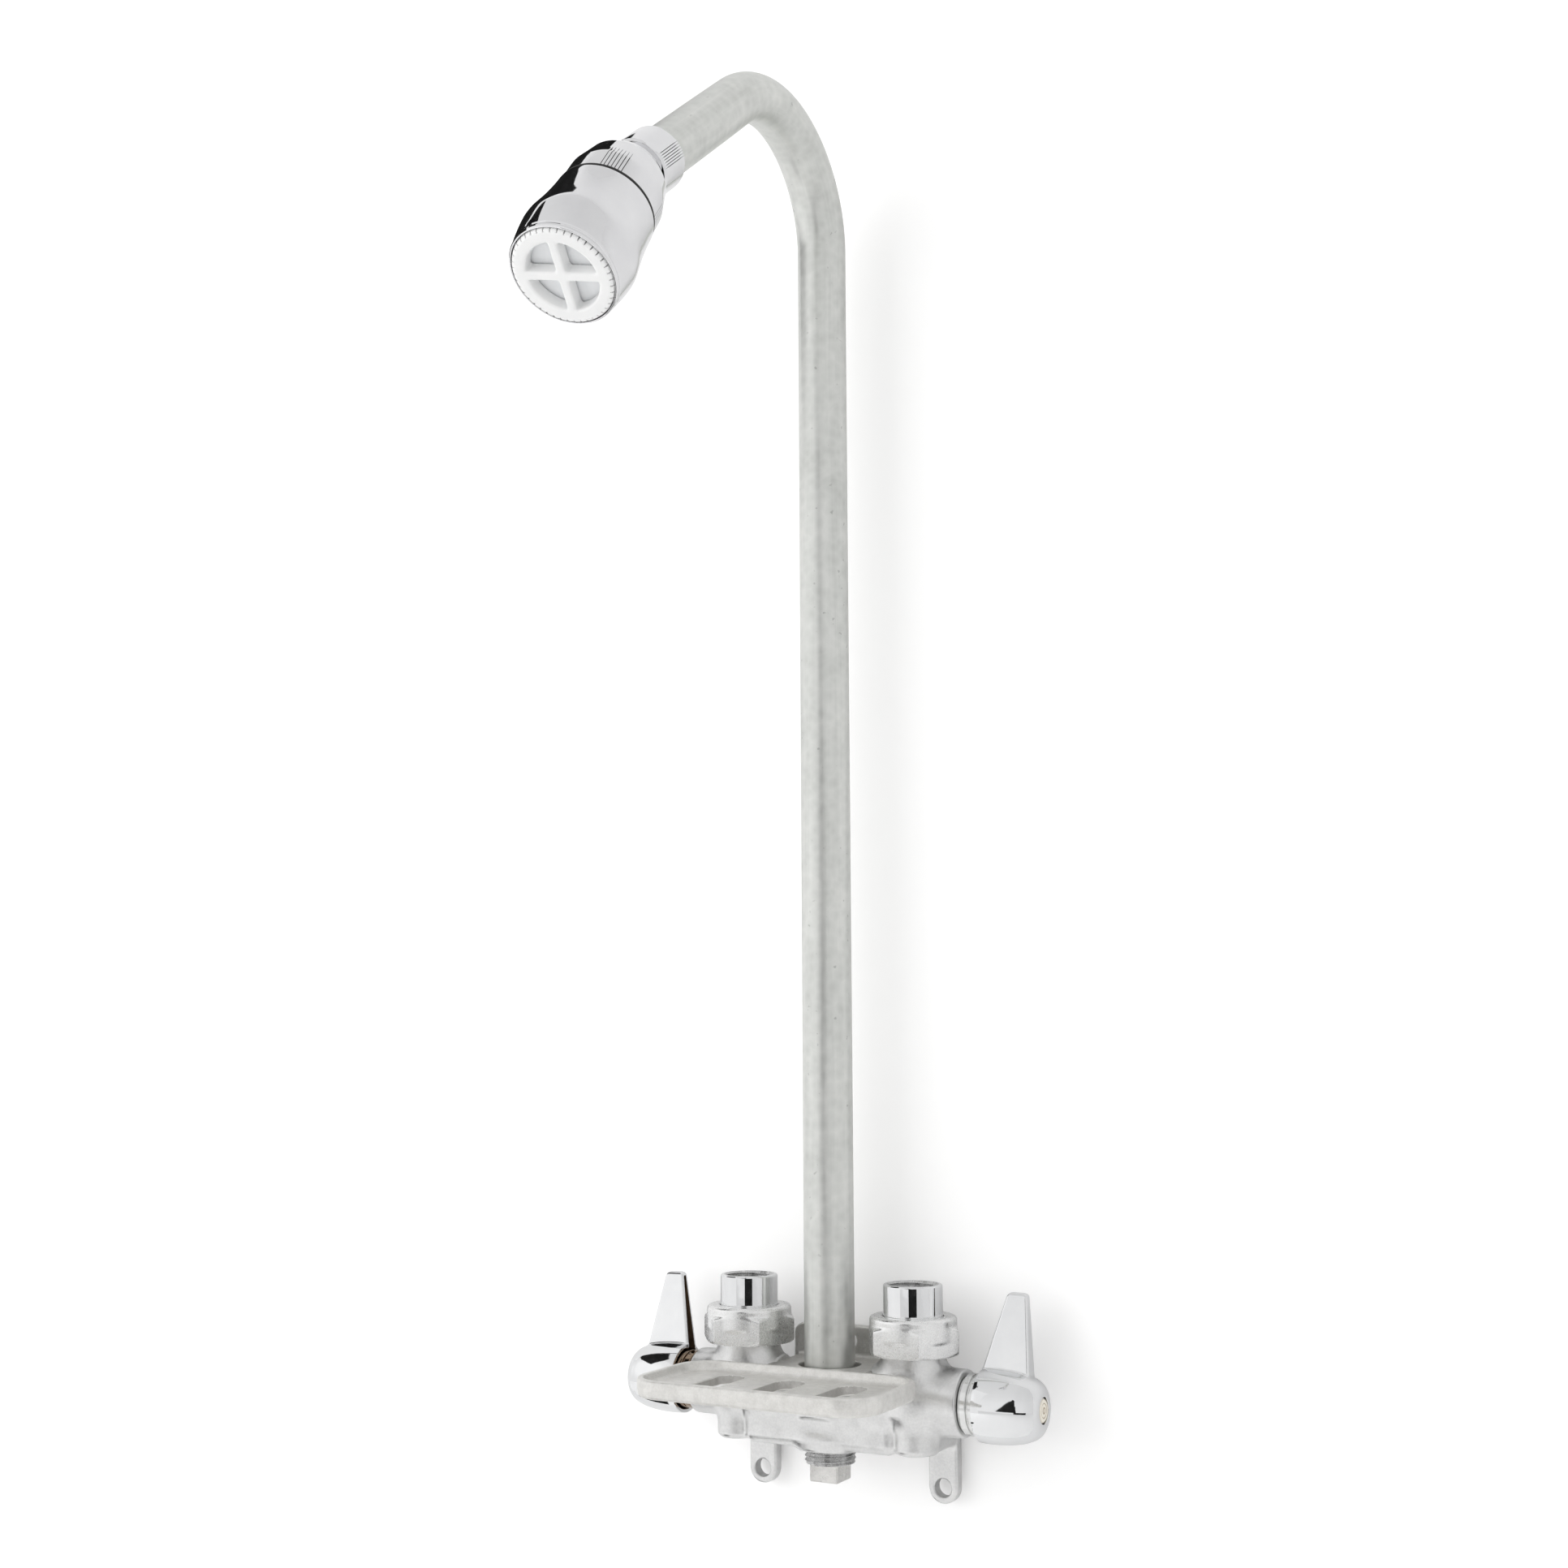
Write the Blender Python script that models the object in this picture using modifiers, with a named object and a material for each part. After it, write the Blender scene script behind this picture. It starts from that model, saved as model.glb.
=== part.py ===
# Exposed wall-mounted shower fitting: a two-handle valve with a soap dish, a bent riser pipe
# and a ball-joint shower head.  World axes: +X to the right, -Y out of the wall, +Z up.
# The origin is on the wall, midway between the two lower screw holes.  All sizes below are in mm.
import bpy
import bmesh
import math
from mathutils import Vector, Matrix

MM = 0.001

# ------------------------------------------------------------------ driving sizes (mm)
WALL_TO_RISER = 24.5          # riser axis in front of the wall
DECK_HEIGHT = 50.0            # dish deck above the lower screw holes
GAP = 0.3                     # air between pieces that touch

PIPE_OD = 21.3                # 1/2 inch pipe
PIPE_BORE = 15.8
RISER_STRAIGHT = 485.0        # deck to the start of the bend
BEND_RADIUS = 49.0
BEND_ANGLE = math.radians(128.6)
SOCKET_DEPTH = 16.0

INLET_X = 38.75               # supply centres are 77.5 apart
TAIL_OD = 24.7
TAIL_BORE = 19.8
TAIL_TOP = 35.0
NUT_FLATS = 35.2
NUT_BOTTOM, NUT_TOP = 6.7, 22.8
NECK_R = 13.2                 # below the nut; its threaded top is 14.5

AXIS_Z = -11.3                # handle axis below the deck
BODY_END_X = 62.5
CART_R = 9.8                  # cartridge bore radius
BELL_OPEN_X, BELL_END_X = 69.6, 95.4
BELL_R = 14.7

EAR_X, EAR_Z = 42.75, -50.0   # lower fixing holes
EAR_HOLE = 7.5
EAR_W, EAR_T = 13.0, 5.6
BODY_BOTTOM = -33.0
PLUG_SQ = 13.0

DISH_X, DISH_BACK, DISH_FRONT = 54.0, -19.4, -76.9
DISH_R = 15.8
DISH_RIM, DISH_FLOOR, DISH_UNDER = 1.4, -2.4, -6.1
SLOT_PITCH, SLOT_W = 28.0, 12.0
SLOT_FRONT, SLOT_BACK = -67.0, -30.0
DECK_X = 23.5

BALL = Vector((0.0, -163.7, 456.28))                # ball centre, from the deck datum
ARM_DIR = Vector((0.0, 0.781, 0.6245)).normalized() # up the arm, away from the ball
HEAD_DIR = Vector((0.0348, 0.5955, 0.8026)).normalized() # from the face to the back of the head
BALL_R = 11.0
FACE_DIST = 60.3              # face plane in front of the ball centre

BASE = Vector((0.0, -WALL_TO_RISER, DECK_HEIGHT))   # deck datum in world

for ob in list(bpy.data.objects):
    bpy.data.objects.remove(ob, do_unlink=True)
for me in list(bpy.data.meshes):
    bpy.data.meshes.remove(me)

scene = bpy.context.scene
parts = bpy.data.collections.new("wall_shower_fitting")
tools = bpy.data.collections.new("modelling_tools")
scene.collection.children.link(parts)
scene.collection.children.link(tools)


# ------------------------------------------------------------------ materials
def material(name, colour, rough, metal):
    m = bpy.data.materials.new(name)
    m.use_nodes = True
    b = m.node_tree.nodes["Principled BSDF"]
    b.inputs["Base Color"].default_value = (*colour, 1.0)
    b.inputs["Roughness"].default_value = rough
    b.inputs["Metallic"].default_value = metal
    m.diffuse_color = (*colour, 1.0)
    return m


# ------------------------------------------------------------------ helpers
def link(ob, col):
    col.objects.link(ob)
    return ob


def smooth(me, on=True):
    for p in me.polygons:
        p.use_smooth = on


def to_object(name, bm, col=tools, shade=False):
    me = bpy.data.meshes.new(name)
    bm.to_mesh(me)
    bm.free()
    smooth(me, shade)
    ob = link(bpy.data.objects.new(name, me), col)
    if col is tools:
        ob.hide_render = True
        ob.display_type = 'WIRE'
    return ob


def box(name, x0, x1, y0, y1, z0, z1, bevel=0.0, seg=3, upright=False, col=tools):
    """A cube primitive sized to the given limits; bevel rounds all edges or only the upright ones."""
    bm = bmesh.new()
    bmesh.ops.create_cube(bm, size=1.0)
    bmesh.ops.scale(bm, vec=((x1 - x0) * MM, (y1 - y0) * MM, (z1 - z0) * MM), verts=bm.verts)
    bmesh.ops.translate(bm, vec=((x0 + x1) / 2 * MM, (y0 + y1) / 2 * MM, (z0 + z1) / 2 * MM), verts=bm.verts)
    if bevel:
        edges = [e for e in bm.edges
                 if not upright or abs((e.verts[0].co - e.verts[1].co).normalized().z) > 0.9]
        bmesh.ops.bevel(bm, geom=edges, offset=bevel * MM, segments=seg, profile=0.5,
                        affect='EDGES', clamp_overlap=True)
    return to_object(name, bm, col)


def rod(name, r, p0, p1, seg=32, r2=None, col=tools, shade=False):
    """A cylinder or cone primitive from p0 to p1 (r at p0, r2 at p1)."""
    a, b = Vector(p0) * MM, Vector(p1) * MM
    bm = bmesh.new()
    bmesh.ops.create_cone(bm, cap_ends=True, segments=seg, radius1=r * MM,
                          radius2=(r if r2 is None else r2) * MM, depth=(b - a).length)
    q = Vector((0, 0, 1)).rotation_difference((b - a).normalized()).to_matrix().to_4x4()
    bmesh.ops.transform(bm, matrix=Matrix.Translation((a + b) / 2) @ q, verts=bm.verts)
    return to_object(name, bm, col, shade)


def lathe(name, profile, steps, mat=None, col=parts, closed=True):
    """A turned shape: the profile of (radius, height) runs down the outer side, then up the bore."""
    me = bpy.data.meshes.new(name)
    bm = bmesh.new()
    vs = [bm.verts.new((r * MM, 0.0, z * MM)) for r, z in profile]
    for a, b in zip(vs, vs[1:]):
        bm.edges.new((a, b))
    if closed:
        bm.edges.new((vs[-1], vs[0]))
    bm.to_mesh(me)
    bm.free()
    ob = link(bpy.data.objects.new(name, me), col)
    if col is tools:
        ob.hide_render = True
        ob.display_type = 'WIRE'
    s = ob.modifiers.new("turn", 'SCREW')
    s.axis = 'Z'
    s.angle = 2 * math.pi
    s.steps = s.render_steps = steps
    s.use_merge_vertices = True
    s.merge_threshold = 0.00001
    s.use_smooth_shade = True
    if mat:
        me.materials.append(mat)
    return ob


def boolean(ob, other, op):
    m = ob.modifiers.new(other.name, 'BOOLEAN')
    m.operation = op
    m.solver = 'EXACT'
    m.object = other
    return m


def add(ob, *others):
    for o in others:
        boolean(ob, o, 'UNION')


def cut(ob, *others):
    for o in others:
        boolean(ob, o, 'DIFFERENCE')


def tube_mesh(name, points, radius, res, mat, col):
    """A round bar swept along a polyline, turned into a closed mesh."""
    cu = bpy.data.curves.new(name + "_path", 'CURVE')
    cu.dimensions = '3D'
    cu.bevel_depth = radius * MM
    cu.bevel_resolution = res
    cu.use_fill_caps = True
    sp = cu.splines.new('POLY')
    sp.points.add(len(points) - 1)
    for p, q in zip(sp.points, points):
        p.co = (*(Vector(q) * MM), 1.0)
    tmp = link(bpy.data.objects.new(name + "_path", cu), tools)
    bpy.context.view_layer.update()
    me = bpy.data.meshes.new_from_object(tmp)
    bpy.data.objects.remove(tmp)
    bm = bmesh.new()
    bm.from_mesh(me)
    bmesh.ops.remove_doubles(bm, verts=bm.verts, dist=1e-6)
    bmesh.ops.recalc_face_normals(bm, faces=bm.faces)
    bm.to_mesh(me)
    bm.free()
    me.name = name
    me.materials.clear()
    if mat:
        me.materials.append(mat)
    smooth(me)
    ob = link(bpy.data.objects.new(name, me), col)
    if col is tools:
        ob.hide_render = True
        ob.display_type = 'WIRE'
    return ob


def empty(name, at, rot=(0, 0, 0)):
    e = link(bpy.data.objects.new(name, None), parts)
    e.empty_display_size = 0.02
    e.location = at * MM
    e.rotation_euler = rot
    return e


# frames: the deck datum, the two handle axes, the arm axis and the head axis at the ball centre
datum = empty("deck_datum", BASE)
side_axis = {}
for side, sx in (("left", -1), ("right", 1)):
    side_axis[side] = empty(side + "_handle_axis", BASE + Vector((0, 0, AXIS_Z)),
                            (0, sx * math.pi / 2, 0))
arm_axis = empty("arm_axis", BASE + BALL)
arm_axis.rotation_euler = Vector((0, 0, 1)).rotation_difference(ARM_DIR).to_euler()
head_axis = empty("head_axis", BASE + BALL)
head_axis.rotation_euler = Vector((0, 0, 1)).rotation_difference(HEAD_DIR).to_euler()


def put(ob, parent):
    ob.parent = parent
    return ob


def put_tools(ob, parent):
    """Parent a piece and the shapes that its Booleans use."""
    ob.parent = parent
    for m in ob.modifiers:
        if m.type == 'BOOLEAN' and m.object.parent is None:
            put_tools(m.object, parent)
    return ob


# ------------------------------------------------------------------ valve body (cast brass)
body = box("valve_body", -35, 35, -13, 21, BODY_BOTTOM, -7.5, 3.5, 2, col=parts)
body.data.materials.append(material("cast_rough_chrome", (0.62, 0.62, 0.62), 0.38, 1.0))
for sx in (-1, 1):
    s = "l" if sx < 0 else "r"
    add(body,
        box("body_back_" + s, *sorted((sx * 20, sx * 50)), -4, 21.6, BODY_BOTTOM + 0.4, -8.9, 3.0, 2),
        rod("body_column_" + s, 8.6, (sx * 41.4, -5.2, BODY_BOTTOM + 0.8), (sx * 41.4, -5.2, -10), 18),
        rod("body_boss_" + s, 13.0, (sx * 24.6, 0, AXIS_Z), (sx * (BODY_END_X - 3), 0, AXIS_Z), 28),
        rod("body_end_" + s, 13.6, (sx * 46, 0, AXIS_Z), (sx * BODY_END_X, 0, AXIS_Z), 28),
        rod("body_neck_" + s, NECK_R, (sx * INLET_X, 0, -14), (sx * INLET_X, 0, 9.0), 28),
        rod("body_thread_" + s, 14.5, (sx * INLET_X, 0, 7.3), (sx * INLET_X, 0, 13.0), 28))
add(body,
    rod("riser_boss", 14.8, (0, 0, -20), (0, 0, -4.3), 24),
    rod("plug_boss", 13.4, (0, 0, -30), (0, 0, -34), 24))


def ear(name, sx):
    """A flat lug: a 2D outline with a half-round lower end, filled and extruded, standing in XZ."""
    cu = bpy.data.curves.new(name, 'CURVE')
    cu.dimensions = '2D'
    cu.fill_mode = 'BOTH'
    cu.extrude = EAR_T / 2 * MM
    r = EAR_W / 2
    pts = [(-r, 28), (r, 28)]
    n = 12
    pts += [(r * math.cos(a), r * math.sin(a)) for a in [-math.pi * i / n for i in range(n + 1)]]
    sp = cu.splines.new('POLY')
    sp.points.add(len(pts) - 1)
    for p, q in zip(sp.points, pts):
        p.co = (q[0] * MM, q[1] * MM, 0, 1)
    sp.use_cyclic_u = True
    tmp = link(bpy.data.objects.new(name, cu), tools)
    bpy.context.view_layer.update()
    me = bpy.data.meshes.new_from_object(tmp)
    bpy.data.objects.remove(tmp)
    bm = bmesh.new()
    bm.from_mesh(me)
    bmesh.ops.remove_doubles(bm, verts=bm.verts, dist=1e-6)
    m = Matrix.Translation(Vector((sx * EAR_X, WALL_TO_RISER - EAR_T / 2, EAR_Z)) * MM) @ \
        Matrix.Rotation(math.pi / 2, 4, 'X')
    bmesh.ops.transform(bm, matrix=m, verts=bm.verts)
    bmesh.ops.recalc_face_normals(bm, faces=bm.faces)
    return to_object(name, bm)


add(body, ear("ear_l", -1), ear("ear_r", 1))
for sx in (-1, 1):
    s = "l" if sx < 0 else "r"
    cut(body,
        rod("cartridge_bore_" + s, CART_R, (sx * 27, 0, AXIS_Z), (sx * 67, 0, AXIS_Z), 24),
        rod("seat_bore_" + s, 5.0, (sx * 18.6, 0, AXIS_Z), (sx * 28, 0, AXIS_Z), 12),
        rod("drop_bore_" + s, 5.0, (sx * 20, 0, -21.3), (sx * 20, 0, -11.0), 12),
        rod("inlet_bore_" + s, 9.0, (sx * INLET_X, 0, -11.3), (sx * INLET_X, 0, 17), 20),
        rod("ear_hole_" + s, EAR_HOLE / 2, (sx * EAR_X, 10, EAR_Z), (sx * EAR_X, 30, EAR_Z), 16))
cut(body,
    rod("cross_bore", 4.8, (-20.5, 0, -21), (20.5, 0, -21), 12),
    rod("riser_socket", PIPE_OD / 2 + GAP, (0, 0, -SOCKET_DEPTH), (0, 0, 5), 32),
    rod("mixing_chamber", 8.0, (0, 0, -28), (0, 0, -15), 16),
    rod("plug_bore", 11.0, (0, 0, -40), (0, 0, -26.6), 28))
put_tools(body, datum)

# ------------------------------------------------------------------ drain plug
plug = lathe("drain_plug", [(0, -27), (10.0, -27), (10.7, -27.8), (10.7, -39.2), (10.0, -40.0), (0, -40.0)],
             28, material("plug_zinc", (0.60, 0.59, 0.57), 0.35, 1.0), closed=False)
add(plug, box("plug_square", -PLUG_SQ / 2, PLUG_SQ / 2, -PLUG_SQ / 2, PLUG_SQ / 2, -47.3, -39.0, 0.6, 2))
put_tools(plug, datum)

# ------------------------------------------------------------------ soap dish (separate casting)
dish = box("soap_dish", -DISH_X, DISH_X, DISH_FRONT, DISH_BACK, DISH_UNDER, DISH_RIM, DISH_R, 7,
           upright=True, col=parts)
dish.data.materials.append(material("sandblasted_dish", (0.66, 0.64, 0.61), 0.5, 1.0))
add(dish,
    box("dish_deck", -DECK_X, DECK_X, DISH_BACK - 1.2, 20.5, -4.0, 0.0, 2.0, 2, upright=True))
back = box("dish_back_plate", -27, 27, 19.0, WALL_TO_RISER, -4.0, 13.0)
mod = back.modifiers.new("round", 'BEVEL')
mod.width = 0.8 * MM
mod.segments = 2
add(dish, back)
cut(dish,
    box("dish_tray", -DISH_X + 2.8, DISH_X - 2.8, DISH_FRONT + 2.8, DISH_BACK - 2.8, DISH_FLOOR, 6.0,
        DISH_R - 2.8, 6, upright=True),
    rod("deck_hole", 13.0, (0, 0, -10), (0, 0, 10), 32),
    rod("back_plate_hole", 3.25, (0, 10, 7.0), (0, 30, 7.0), 20))
for i in (-1, 0, 1):
    cut(dish, box("slot_%d" % (i + 2), i * SLOT_PITCH - SLOT_W / 2, i * SLOT_PITCH + SLOT_W / 2,
                  SLOT_FRONT, SLOT_BACK, -10, 5, SLOT_W / 2 - 0.05, 4, upright=True))
put_tools(dish, datum)

# ------------------------------------------------------------------ riser pipe
ARM_END = BALL + ARM_DIR * 18.2


def riser_points(z0, extra):
    pts = [(0, 0, z0), (0, 0, 0.0), (0, 0, RISER_STRAIGHT)]
    n = 18
    for i in range(1, n + 1):
        a = BEND_ANGLE * i / n
        pts.append((0, -BEND_RADIUS * (1 - math.cos(a)), RISER_STRAIGHT + BEND_RADIUS * math.sin(a)))
    pts.append(tuple(ARM_END - ARM_DIR * extra))
    return pts


galv = material("galvanised_steel", (0.56, 0.58, 0.56), 0.42, 1.0)
riser = tube_mesh("riser_pipe", riser_points(-SOCKET_DEPTH + GAP, 0.0), PIPE_OD / 2, 4, galv, parts)
cut(riser, tube_mesh("riser_bore", riser_points(-30, 10.0), PIPE_BORE / 2, 2, None, tools))
put_tools(riser, datum)

# ------------------------------------------------------------------ unions, one on each inlet
chrome_tail = material("tailpiece_chrome", (0.78, 0.78, 0.79), 0.08, 1.0)
nut_mat = material("union_nut_rough_chrome", (0.66, 0.66, 0.66), 0.34, 1.0)
fibre = material("fibre_washer", (0.10, 0.09, 0.08), 0.8, 0.0)
for side, sx in (("left", -1), ("right", 1)):
    at = Vector((sx * INLET_X, 0, 0)) * MM
    t = lathe(side + "_inlet_tailpiece",
              [(9.9, TAIL_TOP), (11.8, TAIL_TOP), (12.35, TAIL_TOP - 0.6), (12.35, 18.0), (14.4, 18.0),
               (14.4, 15.0), (7.5, 15.0), (7.5, 20.5), (9.9, 21.5)], 24, chrome_tail)
    t.location = at
    put(t, datum)
    w = lathe(side + "_union_washer", [(9.2, 14.7), (14.2, 14.7), (14.2, 13.3), (9.2, 13.3)], 20, fibre)
    w.location = at
    put(w, datum)
    # hexagon turned so that a corner faces the front
    nut = rod(side + "_union_nut", NUT_FLATS / math.sqrt(3), (0, 0, NUT_BOTTOM), (0, 0, 19.2), 6, col=parts)
    nut.data.materials.append(nut_mat)
    env = lathe(side + "_nut_chamfer", [(0, 30), (18.2, 30), (18.2, 18.9), (18.9, 18.6), (21.4, 16.4),
                                        (21.4, 8.4), (18.9, 6.8), (18.6, 0), (0, 0)], 18, col=tools, closed=False)
    boolean(nut, env, 'INTERSECT')
    add(nut, lathe(side + "_nut_shoulder", [(0, NUT_TOP), (16.0, NUT_TOP), (17.2, 22.4), (18.0, 21.4),
                                            (18.1, 20.0), (18.1, 15.0), (0, 15.0)], 24, col=tools, closed=False))
    cut(nut, rod(side + "_nut_thread", 14.8, (0, 0, 0), (0, 0, 18.3), 20),
        rod(side + "_nut_lip", 12.65, (0, 0, 10), (0, 0, 30), 22))
    for o in [nut] + [m.object for m in nut.modifiers]:
        o.location = at
        o.rotation_euler = (0, 0, math.radians(41.1 if sx < 0 else 30.7))
        o.parent = datum

# ------------------------------------------------------------------ cartridges and handles
bonnet_mat = material("bonnet_chrome", (0.74, 0.74, 0.75), 0.12, 1.0)
stem_mat = material("stem_brass", (0.72, 0.56, 0.28), 0.3, 1.0)
disc_mat = material("ceramic_disc", (0.85, 0.84, 0.80), 0.3, 0.0)
rubber = material("black_rubber", (0.03, 0.03, 0.03), 0.7, 0.0)
handle_mat = material("handle_chrome", (0.80, 0.80, 0.81), 0.06, 1.0)
screw_mat = material("screw_steel", (0.55, 0.55, 0.55), 0.3, 1.0)
button_mat = material("index_button_plastic", (0.80, 0.77, 0.68), 0.4, 0.0)

for side, sx in (("left", -1), ("right", 1)):
    ax = side_axis[side]
    put(lathe(side + "_seat_seal", [(5.4, 28.7), (9.3, 28.7), (9.3, 27.3), (5.4, 27.3)], 16, rubber), ax)
    # with this rotation the local -X axis is up on the right side and +X is up on the left side
    up = -sx
    fixed = lathe(side + "_fixed_disc", [(0, 31.0), (9.3, 31.0), (9.3, 29.0), (0, 29.0)], 20, disc_mat, closed=False)
    cut(fixed, rod(side + "_fixed_port", 1.7, (0, -3.6, 25), (0, -3.6, 35), 10))
    put_tools(fixed, ax)
    turning = lathe(side + "_rotating_disc", [(0, 33.3), (9.3, 33.3), (9.3, 31.3), (0, 31.3)], 20, disc_mat, closed=False)
    cut(turning, rod(side + "_turning_port", 1.7, (up * 3.6, 0, 25), (up * 3.6, 0, 38), 10))
    put_tools(turning, ax)
    stem = lathe(side + "_valve_stem",
                 [(1.8, 80), (3.5, 80), (3.5, 71), (4.0, 70.5), (4.0, 43.5), (5.4, 43.5), (5.4, 38), (1.7, 38),
                  (1.7, 33.6), (0, 33.6), (0, 69), (1.8, 69)], 12, stem_mat)
    # the profile above meets the axis at its lower end, so it is left open there
    me = stem.data
    bm = bmesh.new()
    bm.from_mesh(me)
    bm.verts.ensure_lookup_table()
    kill = [e for e in bm.edges if all(abs(v.co.x) < 1e-9 for v in e.verts)]
    bmesh.ops.delete(bm, geom=kill, context='EDGES')
    bm.to_mesh(me)
    bm.free()
    put(stem, ax)
    put(lathe(side + "_bonnet",
              [(4.3, 71.2), (11.7, 71.2), (12.2, 70.7), (12.2, 67.4), (11.4, 67.1), (11.4, 66.7), (12.3, 66.4),
               (12.3, 63.9), (12.0, 63.6), (11.4, 63.6), (11.4, 62.8), (9.5, 62.8), (9.5, 51.4), (7.6, 51.4),
               (7.6, 49.2), (9.5, 49.2), (9.5, 44), (4.3, 44)], 18, bonnet_mat), ax)
    n = 6
    put(lathe(side + "_bonnet_o_ring",
              [(8.7 + 0.8 * math.sin(2 * math.pi * i / n), 50.3 + 0.8 * math.cos(2 * math.pi * i / n))
               for i in range(n)], 16, rubber), ax)
    # bell, its web and its splined hub
    handle = lathe(side + "_lever_handle",
                   [(5.2, 95.4), (7.6, 95.3), (9.6, 94.6), (11.2, 93.0), (12.6, 90.0), (13.8, 85.6), (14.5, 80.0),
                    (BELL_R, 74.0), (14.4, BELL_OPEN_X), (12.8, BELL_OPEN_X), (13.0, 75.0), (12.4, 83.0),
                    (10.4, 88.0), (6.8, 88.6), (6.8, 72.2), (3.8, 72.2), (3.8, 80.5), (1.9, 80.5), (1.9, 85.0),
                    (3.9, 85.0), (3.9, 91.5), (5.2, 91.5)], 20, handle_mat)
    # the lever: a cube drawn out to a leaning, tapered blade
    bm = bmesh.new()
    bmesh.ops.create_cube(bm, size=2.0)
    for v in bm.verts:
        top = v.co.z > 0
        h = 44.0 if top else 9.5
        xs = (77.3, 85.6) if top else (68.0, 89.8)
        ys = (8.2, 12.2) if top else (-2.0, 5.9)
        x = xs[1] if v.co.x > 0 else xs[0]
        y = ys[1] if v.co.y > 0 else ys[0]
        v.co = Vector((up * h, y, x)) * MM
    bmesh.ops.recalc_face_normals(bm, faces=bm.faces)
    blade = to_object(side + "_lever_blade", bm)
    bev = blade.modifiers.new("round", 'BEVEL')
    bev.width = 0.9 * MM
    bev.segments = 2
    add(handle, blade)
    # the lever is cast hollow, open towards the body; its walls are 1.1 to 1.8 mm
    bm = bmesh.new()
    bmesh.ops.create_cube(bm, size=2.0)
    for v in bm.verts:
        h = 42.2 if v.co.z > 0 else 9.0
        s = (h - 9.5) / 34.5
        x = 88.0 - 4.2 * s if v.co.x > 0 else 65.0 + 9.3 * s
        y = 4.8 + 6.3 * s if v.co.y > 0 else -0.7 + 10.2 * s
        v.co = Vector((up * h, y, x)) * MM
    bm.normal_update()
    if bm.calc_volume(signed=True) < 0:
        bmesh.ops.reverse_faces(bm, faces=bm.faces)
    cut(handle, to_object(side + "_lever_hollow", bm),
        rod(side + "_rim_bore", 12.7, (0, 0, 60), (0, 0, 71.9), 20))
    put_tools(handle, ax)
    put(lathe(side + "_handle_screw", [(0, 88.0), (3.1, 88.0), (3.5, 87.4), (3.5, 85.3), (1.5, 85.3),
                                       (1.5, 70.5), (0, 70.0)], 12, screw_mat, closed=False), ax)
    put(lathe(side + "_index_button", [(0, 95.5), (4.3, 95.4), (4.8, 94.9), (4.8, 91.8), (0, 91.8)], 20,
              button_mat, closed=False), ax)

# ------------------------------------------------------------------ swivel ball on the arm (local +Z up the arm)
a0 = math.asin(6.6 / BALL_R)                 # polar angle at the neck
a1 = math.pi - math.asin(4.0 / BALL_R)       # polar angle at the outlet
arc = [(BALL_R * math.sin(a0 + (a1 - a0) * i / 8), BALL_R * math.cos(a0 + (a1 - a0) * i / 8)) for i in range(9)]
ball = lathe("swivel_ball",
             [(10.95, 29.0), (12.4, 29.0), (12.9, 28.5), (12.9, 11.6), (12.3, 11.0), (6.6, 11.0)] + arc +
             [(4.0, 12.4), (5.7, 12.4), (5.7, 15.6), (10.95, 15.6)], 24,
             material("ball_collar_chrome", (0.78, 0.78, 0.79), 0.08, 1.0))
flat = math.radians(51 - 90)
for k in (-1, 1):
    w = box("wrench_flat_%d" % (k + 2), -20, 20, *sorted((k * 12.3, k * 20)), 5, 35)
    w.rotation_euler = (0, 0, flat)
    cut(ball, w)
put_tools(ball, arm_axis)
put(lathe("flow_restrictor", [(1.8, 14.3), (5.4, 14.3), (5.4, 12.7), (1.8, 12.7)], 16,
          material("restrictor_plastic", (0.70, 0.72, 0.74), 0.4, 0.0)), arm_axis)
screen = lathe("filter_screen", [(0, 16.5), (10.5, 16.5), (10.5, 15.9), (0, 15.9)], 16,
               material("screen_steel", (0.6, 0.6, 0.6), 0.35, 1.0), closed=False)
for i in range(5):
    r, a = 3.1, 0.2 + i * 2 * math.pi / 5
    cx, cy = r * math.cos(a), r * math.sin(a)
    cut(screen, rod("screen_hole_%d" % i, 1.1, (cx, cy, 14), (cx, cy, 18), 8))
put_tools(screen, arm_axis)
put(lathe("collar_washer", [(6.2, 17.9), (10.5, 17.9), (10.5, 16.8), (6.2, 16.8)], 16, rubber), arm_axis)
CUP_IN, CUP_OUT = BALL_R + GAP, 12.5
b0, b1 = 3.8, -8.0
outer = [(math.sqrt(CUP_OUT ** 2 - z * z), z) for z in [b0 + (b1 - b0) * i / 5 for i in range(6)]]
inner = [(math.sqrt(CUP_IN ** 2 - z * z), z) for z in [b1 + (b0 - b1) * i / 5 for i in range(6)]]
put(lathe("ball_cup", outer + inner, 18, material("cup_acetal", (0.85, 0.85, 0.83), 0.45, 0.0)), arm_axis)

# ------------------------------------------------------------------ shower head (local +Z from face to back)
def t(dist):
    """Height on the head axis of a point that lies dist behind the face."""
    return dist - FACE_DIST


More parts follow.
